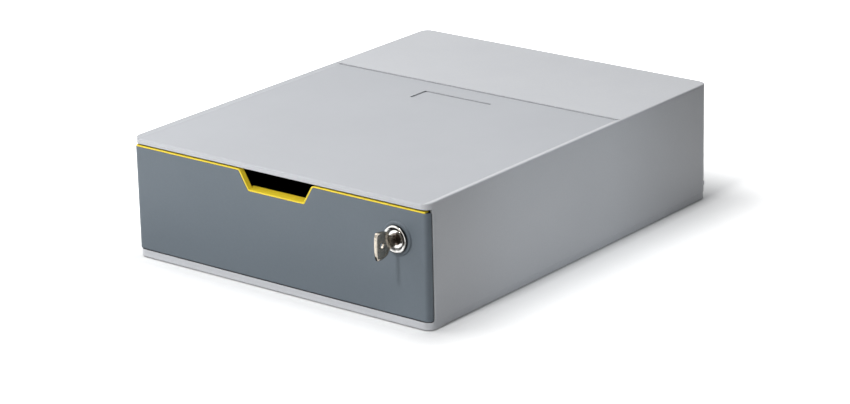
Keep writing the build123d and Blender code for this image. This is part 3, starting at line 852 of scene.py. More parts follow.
@dataclass(frozen=True)
class Spindle:
    """An axis that round pieces are built about, in millimetres."""

    foot: Vector
    along: Vector
    steps: int = 64
    rings_per_turn: int = 6

    def at(self, radius: float, length: float, angle: float) -> Vector:
        """A point in metres.

        Args:
            radius: Distance from the axis.
            length: Distance along the axis from its foot.
            angle: Angle from the right, in radians.

        Returns:
            The point.
        """
        across = RIGHT * math.cos(angle) + self.along.cross(RIGHT) * math.sin(angle)
        return (self.foot + self.along * length + across * radius) * MM

    def ring(
        self, radius: float | Callable[[float], float], length: float | Callable[[float], float]
    ) -> Ring:
        """One ring of points.

        Args:
            radius: The radius, or a function of the angle.
            length: The place along the axis, or a function of the angle.

        Returns:
            The ring.
        """
        ring = []
        for step in range(self.steps):
            angle = FULL_TURN * step / self.steps
            reach = radius(angle) if callable(radius) else radius
            place = length(angle) if callable(length) else length
            ring.append(self.at(reach, place, angle))
        return ring

    def rings(self, profile: Sequence[Point]) -> list[Ring]:
        """Rings along a profile.

        Args:
            profile: A radius and a place along the axis for each ring.

        Returns:
            The rings.
        """
        return [self.ring(radius, length) for radius, length in profile]

    def thread(
        self, crest: float, depth: float, start: float, end: float, pitch: float
    ) -> list[Ring]:
        """Rings of a screw thread that fades in and out over its first and last turn.

        Args:
            crest: Radius over the thread.
            depth: Depth of the thread.
            start: Where it starts along the axis.
            end: Where it ends.
            pitch: Length of one turn.

        Returns:
            The rings, from start to end.
        """
        way = 1.0 if end > start else -1.0
        length = abs(end - start)
        count = max(2, round(length / pitch * self.rings_per_turn))

        def reach(travel: float, angle: float) -> float:
            phase = (travel / pitch - angle / FULL_TURN) % 1.0
            flank = min(1.0, max(0.0, abs(2 * phase - 1) * 1.6 - 0.3))
            fade = min(1.0, travel / pitch, (length - travel) / pitch)
            return crest - depth * flank * max(0.0, fade)

        rings = []
        for step in range(count + 1):
            travel = length * step / count
            rings.append(self.ring(lambda angle, t=travel: reach(t, angle), start + way * travel))
        return rings

    def prism(
        self, name: str, outline: Sequence[Point], start: float, end: float, taper: float
    ) -> Solid:
        """A prism along the axis, for cutting.

        Args:
            name: The object's name.
            outline: Corners across the axis, to the right first.
            start: Where it starts along the axis.
            end: Where it ends.
            taper: Size of its end as a share of its start.

        Returns:
            The prism.
        """
        rings = [
            [self.at(math.hypot(x, y) * share, place, math.atan2(y, x)) for x, y in outline]
            for place, share in ((start, 1.0), (end, taper))
        ]
        return skinned(name, rings, hollow=False)


def polar(radius: float, angle: float) -> Point:
    """A point at a radius and an angle in radians."""
    return radius * math.cos(angle), radius * math.sin(angle)


def box_outline(left: float, right: float, low: float, high: float) -> list[Point]:
    """Corners of a rectangle."""
    return [(left, low), (right, low), (right, high), (left, high)]


def cross_outline(reach: float, half_width: float) -> list[Point]:
    """Corners of a cross recess.

    Args:
        reach: From the middle to the end of an arm.
        half_width: Half the width of an arm.

    Returns:
        The corners in order.
    """
    arm = ((reach, -half_width), (reach, half_width), (half_width, half_width))
    corners = []
    for quarter in range(4):
        cos, sin = polar(1.0, quarter * math.pi / 2)
        corners += [(x * cos - y * sin, x * sin + y * cos) for x, y in arm]
    return corners


def fan_outline(
    inner: float, outer: float, start: float, end: float, steps: int = 24
) -> list[Point]:
    """Corners of a ring's sector.

    Args:
        inner: Inner radius.
        outer: Outer radius.
        start: First angle in degrees.
        end: Last angle in degrees.
        steps: Straight runs along each arc.

    Returns:
        The corners in order.
    """
    return [
        polar(radius, math.radians(first + (last - first) * step / steps))
        for radius, first, last in ((outer, start, end), (inner, end, start))
        for step in range(steps + 1)
    ]


def circle(depth: float, radius: float, steps: int = 40) -> list[Point]:
    """Points of a circle about the key's middle line.

    Args:
        depth: Where its middle is.
        radius: Its radius.
        steps: How many points it has.

    Returns:
        The points.
    """
    spokes = (polar(radius, FULL_TURN * step / steps) for step in range(steps))
    return [(depth + x, y) for x, y in spokes]


def smooth_run(guides: Sequence[Point], steps: int) -> list[Point]:
    """Points on a smooth line through guide points.

    Args:
        guides: The points to pass.
        steps: Points per span.

    Returns:
        The line's points.
    """
    padded = [Vector(guide) for guide in (guides[0], *guides, guides[-1])]
    line = []
    for before, start, end, after in zip(padded, padded[1:], padded[2:], padded[3:]):
        for step in range(steps):
            t = step / steps
            point = 0.5 * (
                2 * start
                + (end - before) * t
                + (2 * before - 5 * start + 4 * end - after) * t * t
                + (3 * start - before - 3 * end + after) * t * t * t
            )
            line.append((point.x, point.y))
    line.append(tuple(guides[-1]))
    return line


def dress(made: Solid, material: bpy.types.Material) -> None:
    """Give an object one material.

    Args:
        made: A new piece or a node of the frame.
        material: The material.
    """
    if not made.material_slots:
        made.data.materials.append(material)
    for place in made.material_slots:
        place.material = material


def dress_nodes(material: bpy.types.Material, *nodes: str) -> None:
    """Give nodes of the frame one material.

    Args:
        material: The material.
        *nodes: The nodes.
    """
    for node in nodes:
        dress(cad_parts[node], material)
        LOG.info("%s dressed", node)


def finish_piece(
    made: Solid, material: bpy.types.Material, body: Body, slot: Slot, *nodes: str
) -> None:
    """Dress a piece, let it ride on its body and stand for its nodes.

    Args:
        made: The piece.
        material: Its material.
        body: The body it rides on.
        slot: The record's slot of its finish; not used.
        *nodes: The nodes it replaces.
    """
    dress(made, material)
    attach(made, body.value)
    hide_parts(*nodes)
    LOG.info("%s built", made.name)


@dataclass(frozen=True)
class Screw:
    """A screw with a cross recess and a thread, in millimetres."""

    head_radius: float
    head_height: float
    shank_radius: float
    length: float
    countersunk: bool
    pitch: float = 0.9
    thread_depth: float = 0.32
    thread_run_out: float = 0.5
    recess_reach: float = 1.4
    recess_half_width: float = 0.32
    recess_depth: float = 1.0
    recess_lead: float = 0.4
    recess_taper: float = 0.7
    eye: float = 0.3
    neck: float = 0.3
    edge: float = 0.15
    edge_rise: float = 0.12
    slight: float = 0.05
    dome: tuple[Point, ...] = ((0.8, 0.2), (0.96, 0.55), (1.0, 0.85), (1.0, 1.0))
    tip_taper: tuple[Point, ...] = ((0.4, 0.1), (0.6, 0.0))

    def build(self, name: str, spindle: Spindle) -> Solid:
        """Build the screw.

        Args:
            name: The object's name.
            spindle: The axis, with its foot at the head's outer face and pointing to the tip.

        Returns:
            The screw.
        """
        head, tall, shank = self.head_radius, self.head_height, self.shank_radius
        profile = [(self.eye, 0.0)]
        if self.countersunk:
            profile += [(head - self.edge, 0.0), (head, self.edge_rise)]
            profile += [(shank + self.slight, tall)]
            thread_start, tip = tall + self.neck, self.length
        else:
            profile += [(head * 0.5, self.slight)]
            profile += [(head * out, tall * down) for out, down in self.dome]
            profile += [(shank + self.edge, tall), (shank, tall + self.edge)]
            thread_start, tip = tall + self.thread_run_out, self.length + tall
        thread_end = tip - self.thread_run_out
        rings = spindle.rings(profile)
        rings += spindle.thread(shank, self.thread_depth, thread_start, thread_end, self.pitch)
        rings += spindle.rings([(shank - inward, tip - back) for inward, back in self.tip_taper])
        made = skinned(name, rings, hollow=False)
        cross = cross_outline(self.recess_reach, self.recess_half_width)
        lead, deep = -self.recess_lead, self.recess_depth
        carve(made, spindle.prism("punch", cross, lead, deep, self.recess_taper))
        return made


# --------------------------------------------------------------------------- sub-assemblies


@dataclass
class Housing:
    """Shell, base plate with its screws, and the rubber feet. Millimetres."""

    corners: tuple[str, ...] = ("front_left", "front_right", "rear_left", "rear_right")
    foot_middle: float = 0.25
    foot_groove_radii: Point = (2.2, 4.2)
    groove_width: float = 0.7
    groove_depth: float = 0.35
    sole_corner: tuple[Point, ...] = ((0.45, 0.0), (0.13, 0.12), (0.0, 0.4))
    top_corner: float = 0.1
    plastic: MouldedPlastic = TwoTextureShell(
        "housing_light_grey",
        colour=(0.595, 0.603, 0.625),
        shade=(0.565, 0.573, 0.597),
        recess_colour=(0.51, 0.52, 0.545),
        roughness=0.4,
        edge_colour=(0.66, 0.668, 0.69),
    )
    rubber: MattRubber = MattRubber("foot_rubber_black", (0.018, 0.018, 0.019), (0.07, 0.068, 0.065))
    steel: PlatedSteel = PlatedSteel("zinc_steel_screws")

    def build(self) -> None:
        """Dress the shell and the base plate, and build the screws and feet."""
        dress_nodes(self.plastic.material(), "housing_shell", "base_plate")
        self.build_screws()
        self.build_feet()

    def build_screws(self) -> None:
        """Six countersunk screws in place of the plain ones."""
        low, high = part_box("base_screws")
        kind = Screw(2.7, 1.45, 1.3, (high.z - low.z) / MM, countersunk=True)
        xs = (low.x / MM + kind.head_radius, high.x / MM - kind.head_radius)
        ys = (low.y / MM + kind.head_radius, high.y / MM - kind.head_radius)
        screws = []
        for x in xs:
            for y in (ys[0], (ys[0] + ys[1]) / 2, ys[1]):
                spindle = Spindle(Vector((x, y, low.z / MM)), UP, steps=32)
                screws.append(kind.build("screw", spindle))
        made = shaded(merged("base_plate_screws", screws))
        finish_piece(made, self.steel.material(), Body.HOUSING, Slot.ZINC, "base_screws")

    def build_feet(self) -> None:
        """Four feet with grooves in their soles."""
        rubber = self.rubber.material()
        half, quarter = self.groove_width / 2, self.groove_width / 4
        for corner in self.corners:
            low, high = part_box(f"foot_{corner}")
            centre = (low + high) / 2 / MM
            radius = (high.x - low.x) / 2 / MM
            tall = (high.z - low.z) / MM
            spindle = Spindle(Vector((centre.x, centre.y, 0.0)), UP)
            profile = [(self.foot_middle, 0.0)]
            for groove in self.foot_groove_radii:
                profile += [(groove - half, 0.0), (groove - quarter, self.groove_depth)]
                profile += [(groove + quarter, self.groove_depth), (groove + half, 0.0)]
            profile += [(radius - inward, up) for inward, up in self.sole_corner]
            profile += [(radius, tall - self.top_corner), (radius - self.top_corner, tall)]
            profile += [(self.foot_middle, tall)]
            made = shaded(skinned(f"sole_{corner}", spindle.rings(profile), hollow=False))
            finish_piece(made, rubber, Body.HOUSING, Slot.FOOT, f"foot_{corner}")


@dataclass
class Drawer:
    """Tray, front panel, trim and the screws between them. Millimetres."""

    screw_row_split: float = 45.0
    screw_head_height: float = 1.6
    tray: MouldedPlastic = MouldedPlastic(
        "tray_anthracite",
        colour=(0.03, 0.031, 0.035),
        shade=(0.024, 0.025, 0.028),
        roughness=0.55,
        grain_depth=0.012 * MM,
        edge_colour=(0.06, 0.061, 0.066),
    )
    front: MouldedPlastic = MouldedPlastic(
        "front_slate",
        colour=(0.158, 0.187, 0.214),
        shade=(0.149, 0.177, 0.203),
        roughness=0.46,
        grain_depth=0.006 * MM,
        edge_colour=(0.2, 0.236, 0.27),
        gloss=0.3,
        # Wide painted shade: the panel darkens near the lock, the sill and the housing's lip.
        painted_shade_reach=9.0 * MM,
        painted_shade_tone=0.05,
    )
    trim: MouldedPlastic = MouldedPlastic(
        "trim_yellow",
        colour=(1.0, 0.76, 0.04),
        shade=(0.97, 0.73, 0.034),
        roughness=0.4,
        grain_depth=0.004 * MM,
        edge_radius=0.2 * MM,
        # Only a light painted shade in the trim's seams.
        painted_shade_tone=0.85,
    )
    steel: PlatedSteel = PlatedSteel("zinc_steel_front")

    def build(self) -> None:
        """Dress the drawer's mouldings and build its screws."""
        dress_nodes(self.tray.material(), "drawer_tray")
        dress_nodes(self.front.material(), "front_panel")
        dress_nodes(self.trim.material(), "accent_liner")
        self.build_screws()

    def build_screws(self) -> None:
        """Four pan head screws behind the front, in place of the plain ones."""
        low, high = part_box("front_screws")
        tall = self.screw_head_height
        kind = Screw(2.7, tall, 1.3, (high.y - low.y) / MM - tall, countersunk=False)
        groups = {}
        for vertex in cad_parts["front_screws"].data.vertices:
            corner = (vertex.co.x > 0, vertex.co.z > self.screw_row_split * MM)
            groups.setdefault(corner, []).append(vertex.co)
        screws = []
        for group in groups.values():
            x = (min(c.x for c in group) + max(c.x for c in group)) / 2 / MM
            z = (min(c.z for c in group) + max(c.z for c in group)) / 2 / MM
            spindle = Spindle(Vector((x, high.y / MM, z)), -BACK, steps=32)
            screws.append(kind.build("screw", spindle))
        made = shaded(merged("front_panel_screws", screws))
        finish_piece(made, self.steel.material(), Body.DRAWER, Slot.ZINC, "front_screws")


@dataclass
class CamLock:
    """Barrel, nut, plug, cam, wafers and springs. Depths are from the front panel, in millimetres."""

    flange_radius: float = 10.2
    flange_thickness: float = 2.2
    flange_round: float = 0.8
    flange_round_steps: int = 6
    edge_depth: float = 0.3
    edge_break: float = 0.1
    dish_radius: float = 8.9
    dish_depth: float = 1.5
    dish_start: Point = (0.1, 0.06)
    dish_rim: float = 0.05
    seat_radius: float = 6.55
    seat_depth: float = 2.95
    seat_rise: float = 0.12
    bore_radius: float = 5.55
    plug_core: float = 4.5
    barrel_radius: float = 8.5
    plain_neck: float = 1.2
    thread_pitch: float = 1.0
    thread_depth: float = 0.42
    thread_ends: Point = (1.3, 0.5)
    end_chamfer: float = 0.3
    bore_chamfer: float = 0.2
    groove_half_width: float = 3.4
    groove_reach: float = 6.7
    groove_start: float = 3.9
    groove_end: float = 14.3
    stop_inner: float = 6.75
    stop_start: float = 77.0
    stop_end: float = 193.0
    stop_depth: float = 2.2
    nut_across_flats: float = 22.0
    nut_rim_inset: float = 0.3
    nut_chamfer_angle: float = 28.0
    nut_clearance: float = 0.05
    nut_bore_chamfer: float = 0.45
    nut_thread_inset: float = 0.35
    wafers: tuple[str, ...] = ("wafer_1", "wafer_2", "wafer_3", "wafer_4", "wafer_5")
    spring_radius: float = 0.5
    spring_wire: float = 0.085
    spring_turns: float = 6.5
    spring_closing: float = 0.03
    spring_steps: int = 14
    wire_sides: int = 6
    cam_screw: Screw = Screw(
        4.0, 2.4, 2.0, 8.0, countersunk=False, pitch=0.7, recess_reach=2.3,
        recess_half_width=0.5, recess_depth=1.5,
    )

    def __post_init__(self) -> None:
        """Read where the lock's axis is."""
        low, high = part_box("lock_barrel")
        self.centre = Vector(((low.x + high.x) / 2, 0.0, (low.z + high.z) / 2))
        self.face = low.y / MM
        self.rear = high.y / MM
        foot = Vector((self.centre.x / MM, self.face, self.centre.z / MM))
        self.spindle = Spindle(foot, BACK, steps=96)

    def finishes(self) -> dict[str, bpy.types.Material]:
        """The lock's materials by a plain name."""
        centre = tuple(self.centre)
        finishes = {
            "chrome": PolishedMetal(
                "lock_chrome", (0.68, 0.67, 0.65), (0.46, 0.44, 0.41), 0.08, centre,
                # Painted shade on the flange behind its front face.
                painted_side_shade_from=(self.face + self.edge_depth) * MM,
            ),
            "plug": PolishedMetal(
                "plug_nickel", (0.15, 0.125, 0.108), (0.05, 0.04, 0.034), 0.16, centre,
                rim_radius=self.plug_core * MM,
            ),
            "zinc": PlatedSteel("zinc_steel_lock", (0.55, 0.55, 0.54)),
            "brass": PlatedSteel("wafer_brass", (0.7, 0.5, 0.21), (0.83, 0.64, 0.31), 0.28, 2400.0),
            "spring": PlatedSteel("spring_wire", (0.5, 0.5, 0.5), (0.62, 0.61, 0.6), 0.24, 5200.0),
        }
        return {name: finish.material() for name, finish in finishes.items()}

    def build(self) -> None:
        """Build and dress the lock."""
        finish = self.finishes()
        dress_nodes(finish["zinc"], "stop_washer", "lock_cam", "cam_washer")
        dress_nodes(finish["plug"], "lock_plug")
        dress_nodes(finish["brass"], *self.wafers)
        self.build_barrel(finish["chrome"])
        self.build_nut(finish["zinc"])
        self.build_cam_screw(finish["zinc"])
        self.build_springs(finish["spring"])

    def barrel_profile(self) -> list[Point]:
        """Radii and depths from the bore over the dish and the flange to the barrel's neck."""
        seat, dish, outer = self.seat_radius, self.dish_radius, self.flange_radius
        shelf, small = self.flange_thickness, self.edge_break
        profile = [(self.bore_radius, self.seat_depth), (seat, self.seat_depth)]
        profile += [(seat, self.dish_depth + self.seat_rise), (seat + small, self.dish_depth)]
        profile += [(dish - self.dish_start[0], self.dish_start[1]), (dish + self.dish_rim, 0.0)]
        for step in range(self.flange_round_steps + 1):
            turn = math.radians(90 * step / self.flange_round_steps)
            inward, back = 1 - math.sin(turn), 1 - math.cos(turn)
            profile.append((outer - self.flange_round * inward, self.flange_round * back))
        profile += [(outer, shelf - small), (outer - small, shelf), (self.barrel_radius, shelf)]
        return profile + [(self.barrel_radius, shelf + self.plain_neck)]

    def build_barrel(self, chrome: bpy.types.Material) -> None:
        """The barrel with its dished flange, thread, wafer grooves and stop notch.

        Args:
            chrome: Its material.
        """
        spin, outer, bore = self.spindle, self.barrel_radius, self.bore_radius
        long = self.rear - self.face
        start, end = self.flange_thickness + self.thread_ends[0], long - self.thread_ends[1]
        rings = spin.rings(self.barrel_profile())
        rings += spin.thread(outer, self.thread_depth, start, end, self.thread_pitch)
        rings += spin.rings([(outer - self.end_chamfer, long), (bore + self.bore_chamfer, long)])
        rings += spin.rings([(bore, long - self.bore_chamfer)])
        made = skinned("barrel_threaded", rings, hollow=True)
        half, reach = self.groove_half_width, self.groove_reach
        for outline in (box_outline(-half, half, 0.0, reach), box_outline(0.0, reach, -half, half)):
            carve(made, self.swept_box(outline, self.groove_start, self.groove_end))
        fan = fan_outline(self.stop_inner, outer + 1, self.stop_start, self.stop_end)
        carve(made, self.swept_box(fan, long - self.stop_depth, long + 1))
        finish_piece(shaded(made, 28.0), chrome, Body.DRAWER, Slot.CHROME, "lock_barrel")

    def swept_box(self, outline: Sequence[Point], start: float, end: float) -> Solid:
        """A cutter along the lock's axis, its outline given as seen from the front.

        Args:
            outline: Corners, to the right and up.
            start: Depth behind the flange's face where it starts.
            end: Depth where it ends.

        Returns:
            The cutter.
        """
        foot = self.spindle.foot
        rings = [
            [Vector((foot.x + x, foot.y + depth, foot.z + z)) * MM for x, z in outline]
            for depth in (start, end)
        ]
        return skinned("cutter", rings, hollow=False)

    def build_nut(self, zinc: bpy.types.Material) -> None:
        """The hexagon nut, chamfered at its corners, with a threaded bore.

        Args:
            zinc: Its material.
        """
        low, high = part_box("barrel_nut")
        start, end = low.y / MM - self.face, high.y / MM - self.face
        flat = self.nut_across_flats / 2
        rim = flat - self.nut_rim_inset
        rise = math.tan(math.radians(self.nut_chamfer_angle))

        def reach(angle: float) -> float:
            return flat / math.cos((angle + math.pi / 6) % (math.pi / 3) - math.pi / 6)

        def front(angle: float) -> float:
            return start + (reach(angle) - rim) * rise

        def back(angle: float) -> float:
            return end - (reach(angle) - rim) * rise

        bore, inset = self.barrel_radius + self.nut_clearance, self.nut_thread_inset
        mouth, spin = bore + self.nut_bore_chamfer, self.spindle
        rings = [spin.ring(mouth, start), spin.ring(rim, start), spin.ring(reach, front)]
        rings += [spin.ring(reach, back), spin.ring(rim, end), spin.ring(mouth, end)]
        rings += spin.thread(bore, -self.thread_depth, end - inset, start + inset, self.thread_pitch)
        made = shaded(skinned("barrel_nut_chamfered", rings, hollow=True), 24.0)
        finish_piece(made, zinc, Body.DRAWER, Slot.ZINC, "barrel_nut")

    def build_cam_screw(self, zinc: bpy.types.Material) -> None:
        """The screw that holds the cam.

        Args:
            zinc: Its material.
        """
        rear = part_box("cam_screw")[1].y
        foot = Vector((self.centre.x / MM, rear / MM, self.centre.z / MM))
        spindle = Spindle(foot, -BACK, steps=48)
        made = shaded(self.cam_screw.build("cam_screw_cross_head", spindle))
        finish_piece(made, zinc, Body.LOCK_CORE, Slot.ZINC, "cam_screw")

    def build_springs(self, steel: bpy.types.Material) -> None:
        """Five coil springs that stretch between plug and wafers.

        Args:
            steel: Their material.
        """
        low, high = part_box("wafer_springs")
        x = (low.x + high.x) / 2
        places = []
        for wafer in self.wafers:
            wafer_low, wafer_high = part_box(wafer)
            places.append((wafer_low.y + wafer_high.y) / 2)
        coils = [self.coil(Vector((x, y, low.z)), high.z - low.z) for y in places]
        made = shaded(merged("wafer_coils", coils), 60.0)
        dress(made, steel)
        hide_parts("wafer_springs")
        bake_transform(made)
        LOG.info("wafer_coils built")

    def coil(self, foot: Vector, tall: float) -> Solid:
        """One coil spring with closed ends.

        Args:
            foot: Middle of its lower end, in metres.
            tall: Its height in metres.

        Returns:
            The coil.
        """
        wire = self.spring_wire * MM
        radius = self.spring_radius * MM - wire
        steps = round(self.spring_turns * self.spring_steps)
        turns = [FULL_TURN * side / self.wire_sides for side in range(self.wire_sides)]
        rings = []
        for step in range(steps + 1):
            share = step / steps
            angle = FULL_TURN * self.spring_turns * share
            eased = share - self.spring_closing * math.sin(FULL_TURN * share)
            middle = foot + Vector((*polar(radius, angle), wire + (tall - 2 * wire) * eased))
            outward = Vector((*polar(1.0, angle), 0.0))
            rings.append(
                [middle + (outward * math.cos(turn) + UP * math.sin(turn)) * wire for turn in turns]
            )
        return skinned("coil", rings, hollow=False)


@dataclass
class Key:
    """The flat key in the lock. Depths are from the front panel, heights from the axis. Millimetres."""

    shoulder: float = -3.6
    shoulder_cut: float = 0.5
    neck: float = -7.7
    bow_end: float = -24.7
    bow_near: tuple[Point, ...] = ((0.0, 4.5), (-2.3, 5.8), (-4.5, 8.5), (-8.6, 9.9))
    bow_far: tuple[Point, ...] = ((2.4, 10.3), (0.9, 8.7), (0.2, 5.2), (0.0, 0.0))
    bow_steps: int = 6
    neck_half: float = 4.5
    blade_half: float = 2.4
    blade_tip: float = 12.8
    tip_slope: float = 1.8
    hole_radius: float = 2.1
    hole_inset: float = 6.5
    edge_round: float = 0.12
    cut_count: int = 5
    cut_start: float = 1.0
    cut_pitch: float = 2.1
    cut_width: float = 1.0
    cut_depth: float = 0.9
    cut_flank: float = 0.3
    panel_inset: float = 1.5
    panel_shift: float = -0.6
    panel_depth: float = 0.28
    land_width: float = 1.1
    groove_lows: tuple[Point, ...] = ((-1, -0.9), (1, 0.1))
    groove_half: float = 0.55
    groove_depth: float = 0.45
    groove_stop: float = 0.4
    cutter_half: float = 0.5
    weld: float = 0.002
    metal: PolishedMetal = PolishedMetal("key_nickel", (0.52, 0.47, 0.4), (0.2, 0.17, 0.13), 0.14)

    def __post_init__(self) -> None:
        """Read where the key is."""
        low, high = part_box("lock_key")
        self.x = (low.x + high.x) / 2 / MM
        self.z = (low.z + high.z) / 2 / MM
        self.half_thickness = (high.x - low.x) / 2 / MM
        self.panel_y = low.y / MM - self.bow_end

    def bow_side(self, inset: float = 0.0) -> list[Point]:
        """The upper half of the bow's outline, from the neck to the outer end.

        Args:
            inset: How far it is drawn in.

        Returns:
            Points as depth and height.
        """
        guides = [(self.neck + depth, height) for depth, height in self.bow_near]
        guides += [(self.bow_end + depth, height) for depth, height in self.bow_far]
        points = smooth_run(guides, self.bow_steps)
        if not inset:
            return points
        middle = (self.neck + self.bow_end) / 2 + self.panel_shift
        drawn = []
        for depth, height in points:
            outward = Vector((depth - middle, height))
            share = max(0.0, 1 - inset / outward.length)
            drawn.append((middle + outward.x * share, outward.y * share))
        return drawn

    def blade_side(self, upper: bool) -> list[Point]:
        """One edge of the blade, from the tip to the neck.

        Args:
            upper: Whether it is the edge with the cuts.

        Returns:
            Points as depth and height, the height positive.
        """
        half, reach = self.blade_half, self.cut_width / 2
        edge = [(self.blade_tip, half - self.tip_slope), (self.blade_tip - self.tip_slope, half)]
        for index in reversed(range(self.cut_count if upper else 0)):
            middle = self.cut_start + index * self.cut_pitch + reach
            deep = half - self.cut_depth * (1 + index % 3) / 3
            edge += [(middle + reach + self.cut_flank, half), (middle + reach, deep)]
            edge += [(middle - reach, deep), (middle - reach - self.cut_flank, half)]
        edge += [(self.shoulder, half), (self.shoulder, self.neck_half - self.shoulder_cut)]
        return edge + [(self.shoulder - self.shoulder_cut, self.neck_half)]

    def plate(
        self,
        name: str,
        loops: Sequence[Sequence[Point]],
        half: float,
        edge: float = 0.0,
        offset: float = 0.0,
    ) -> Solid:
        """A flat plate with rounded edges, laid flat about the key's own origin, in millimetres.

        Args:
            name: The object's name.
            loops: The outline, then any holes, as depth and height.
            half: Half its thickness.
            edge: Radius of its edges.
            offset: Where its middle plane is across the key.

        Returns:
            The plate.
        """
        curve = bpy.data.curves.new(name, "CURVE")
        curve.dimensions = "2D"
        curve.fill_mode = "BOTH"
        for loop in loops:
            run = curve.splines.new("POLY")
            run.points.add(len(loop) - 1)
            for point, (depth, height) in zip(run.points, loop):
                point.co = (depth, height, 0.0, 1.0)
            run.use_cyclic_u = True
        curve.extrude = half - edge
        curve.bevel_depth = edge
        curve.bevel_resolution = 2
        curve.offset = -edge
        flat = linked(name, curve)
        mesh = final_mesh(flat)
        bpy.data.objects.remove(flat)
        mesh.transform(Matrix.Translation((0.0, 0.0, offset)))
        straightened(mesh, self.weld)
        return linked(name, mesh)

    def build(self) -> None:
        """Build the key: blank, grooves of the blade and sunk panels of the bow."""
        upper = self.bow_side()
        under = reversed(self.blade_side(False) + upper[:-1])
        outline = self.blade_side(True) + upper + [(depth, -height) for depth, height in under]
        hole_at = self.bow_end + self.hole_inset
        hole, land = (circle(hole_at, self.hole_radius + wide) for wide in (0.0, self.land_width))
        made = self.plate("key_flat", [outline, hole], self.half_thickness, self.edge_round)
        outside = self.half_thickness + self.cutter_half
        tip, stop = self.blade_tip + 1, self.shoulder + self.groove_stop
        for side, low in self.groove_lows:
            high = low + 2 * self.groove_half
            groove = [(tip, low), (tip, high), (stop, high), (stop, low)]
            level = side * (outside - self.groove_depth)
            carve(made, self.plate("groove", [groove], self.cutter_half, offset=level))
        sunk = self.bow_side(self.panel_inset)
        panel = sunk + [(depth, -height) for depth, height in reversed(sunk[1:-1])]
        for side in (-1, 1):
            level = side * (outside - self.panel_depth)
            carve(made, self.plate("sunk_panel", [panel, land], self.cutter_half, offset=level))
        turn = Matrix(((0, 0, 1, 0), (1, 0, 0, 0), (0, 1, 0, 0), (0, 0, 0, 1)))
        place = Matrix.Translation(Vector((self.x, self.panel_y, self.z)) * MM)
        made.data.transform(place @ Matrix.Scale(MM, 4) @ turn)
        finish_piece(shaded(made, 30.0), self.metal.material(), Body.KEY, Slot.NICKEL, "lock_key")


# --------------------------------------------------------------------------- studio


@dataclass(frozen=True)
class SoftBox:
    """A rectangular lamp that looks at a point."""

    name: str
    direction: Triple
    distance: float
    size: Point
    power: float
    colour: Colour = WHITE

    def build(self, target: Vector) -> None:
        """Hang the lamp.

        Args:
            target: What it looks at.
        """
        lamp = bpy.data.lights.new(self.name, "AREA")
        lamp.shape = "RECTANGLE"
        lamp.size, lamp.size_y = self.size
        lamp.energy = self.power
        lamp.color = self.colour
        made = linked(self.name, lamp)
        way = Vector(self.direction).normalized()
        made.location = target + way * self.distance
        made.rotation_euler = (-way).to_track_quat("-Z", "Y").to_euler()


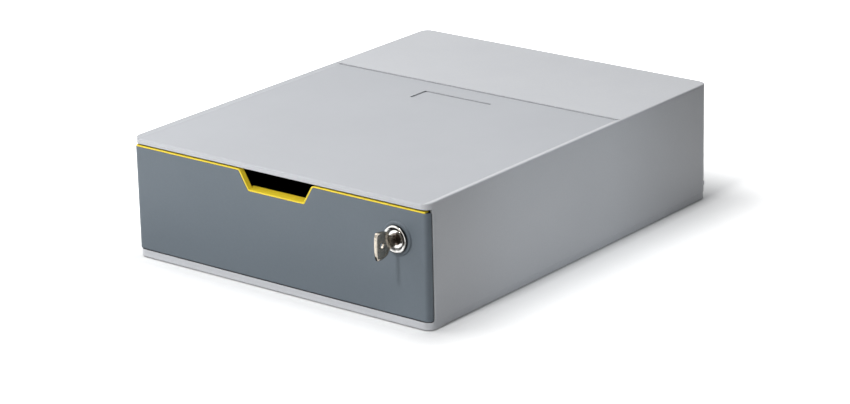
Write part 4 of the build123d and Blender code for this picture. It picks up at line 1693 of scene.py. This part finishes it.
@dataclass
class Studio:
    """Floor, cards, lamps, room light and camera. Metres."""

    focal_pixels: float = 2994.527
    image_width: float = 850.0
    sensor_width: float = 36.0
    clip_end: float = 50.0
    camera_place: Triple = (1.356611, -1.701727, 0.769296)
    azimuth: float = 38.4361
    elevation: float = 18.9283
    roll: float = -1.3272
    floor_half: float = 9.0
    floor_rows: int = 12
    flag_x: float = 0.34
    flag_spans: tuple[Point, ...] = ((-0.6, -0.09), (0.1, 0.9))
    flag_height: float = 0.6
    # Black cards that only gloss sees, painting dark reflections into the chrome.
    reflection_card_spans: tuple[Triple, ...] = ((-0.2, 0.09, -0.26), (0.13, 0.335, -0.36))
    reflection_card_far: float = -0.17
    reflection_card_lift: float = 0.001
    room_fade: Point = (-0.7, 0.5)
    room_light: Point = (0.42, 0.2)
    room_tint_left: Colour = (0.97, 0.985, 1.0)
    room_tint_right: Colour = (0.85, 0.93, 1.0)
    lamp_target: Triple = (0.0, 0.0, 0.05)
    lamps: tuple[SoftBox, ...] = (
        SoftBox("left_lamp", (-0.75, -0.35, 0.8), 1.3, (1.1, 1.1), 8.8),
        SoftBox("front_lamp", (0.05, -0.73, 0.68), 2.0, (0.2, 0.2), 18.5),
        SoftBox("top_lamp", (-0.1, 0.35, 0.95), 2.4, (1.6, 1.0), 5.5),
        SoftBox("side_lamp", (1.0, 0.03, 0.27), 1.0, (0.4, 0.4), 1.15, (0.86, 0.94, 1.0)),
    )

    def build(self) -> None:
        """Set up the whole studio."""
        self.build_floor()
        self.build_cards()
        self.build_room()
        for lamp in self.lamps:
            lamp.build(Vector(self.lamp_target))
        self.build_camera()
        bpy.context.scene.view_settings.view_transform = "Standard"
        LOG.info("studio built")

    def build_floor(self) -> None:
        """A wide pale floor under the box."""
        half, rows = self.floor_half, self.floor_rows
        lines = [-half + 2 * half * row / rows for row in range(rows + 1)]
        points = [Vector((x, y, 0.0)) for y in lines for x in lines]
        faces = []
        for y in range(rows):
            for x in range(rows):
                first = y * (rows + 1) + x
                faces.append((first, first + 1, first + rows + 2, first + rows + 1))
        made = placed("studio_floor", points, faces)
        dress(made, PaleFloor().material())

    def black_card(self, name: str, corners: Sequence[Vector]) -> Solid:
        """Black cards that the camera passes through.

        Args:
            name: The object's name.
            corners: Four corners for each card.

        Returns:
            The cards as one object.
        """
        made = placed(name, corners, [range(first, first + 4) for first in range(0, len(corners), 4)])
        dress(made, BlackCloth(f"{name}_cloth").material())
        made.visible_camera = False
        return made

    def build_cards(self) -> None:
        """Cards beside the box that hold light off, and two black cards lying in front that only gloss
        meets, painting dark reflections into the lock's chrome.
        """
        upright = [
            Vector((self.flag_x, y, z))
            for near, far in self.flag_spans
            for y, z in box_outline(near, far, 0.0, self.flag_height)
        ]
        self.black_card("studio_flags", upright)
        # Painted reflection: the lying cards are seen only by glossy rays.
        lying = [
            Vector((x, y, self.reflection_card_lift))
            for left, right, near in self.reflection_card_spans
            for x, y in box_outline(left, right, near, self.reflection_card_far)
        ]
        card = self.black_card("studio_reflection_card", lying)
        card.visible_diffuse = False
        card.visible_shadow = False

    def build_room(self) -> None:
        """Light from all sides that fades to the right, in a room that is seen as white."""
        world = bpy.data.worlds.new("studio_room")
        bpy.context.scene.world = world
        world.use_nodes = True
        room = Tree(world.node_tree)
        to_right = room.node("SeparateXYZ", {0: room.node("TexCoord", {}, "Generated")})
        fade = room.ranged(to_right, self.room_fade, UNIT)
        looks = {
            "Color": room.mixed(fade, self.room_tint_left, self.room_tint_right),
            "Strength": room.ranged(fade, UNIT, self.room_light),
        }
        lit = room.node("Background", looks)
        white = room.node("Background", {"Color": WHITE})
        room.end("OutputWorld", room.node("MixShader", {0: room.seen(), 1: lit, 2: white}))

    def build_camera(self) -> None:
        """The camera at the photograph's angle, found from the box's corners."""
        data = bpy.data.cameras.new("photo_camera")
        data.sensor_width = self.sensor_width
        data.sensor_fit = "HORIZONTAL"
        data.lens = self.focal_pixels * self.sensor_width / self.image_width
        data.clip_end = self.clip_end
        made = linked("photo_camera", data)
        around, above, lean = map(math.radians, (self.azimuth, self.elevation, self.roll))
        flat, rise = polar(1.0, above)
        back = Vector((math.sin(around) * flat, -math.cos(around) * flat, rise))
        level = Vector((*polar(1.0, around), 0.0))
        up = back.cross(level)
        right = level * math.cos(lean) + up * math.sin(lean)
        top = up * math.cos(lean) - level * math.sin(lean)
        turn = Matrix((right, top, back)).transposed().to_4x4()
        made.matrix_world = Matrix.Translation(Vector(self.camera_place)) @ turn
        bpy.context.scene.camera = made


def main() -> None:
    """Build the studio and every sub-assembly in order."""
    for part in (Studio(), Housing(), Drawer(), CamLock(), Key()):
        part.build()


if __name__ == "__main__":
    main()
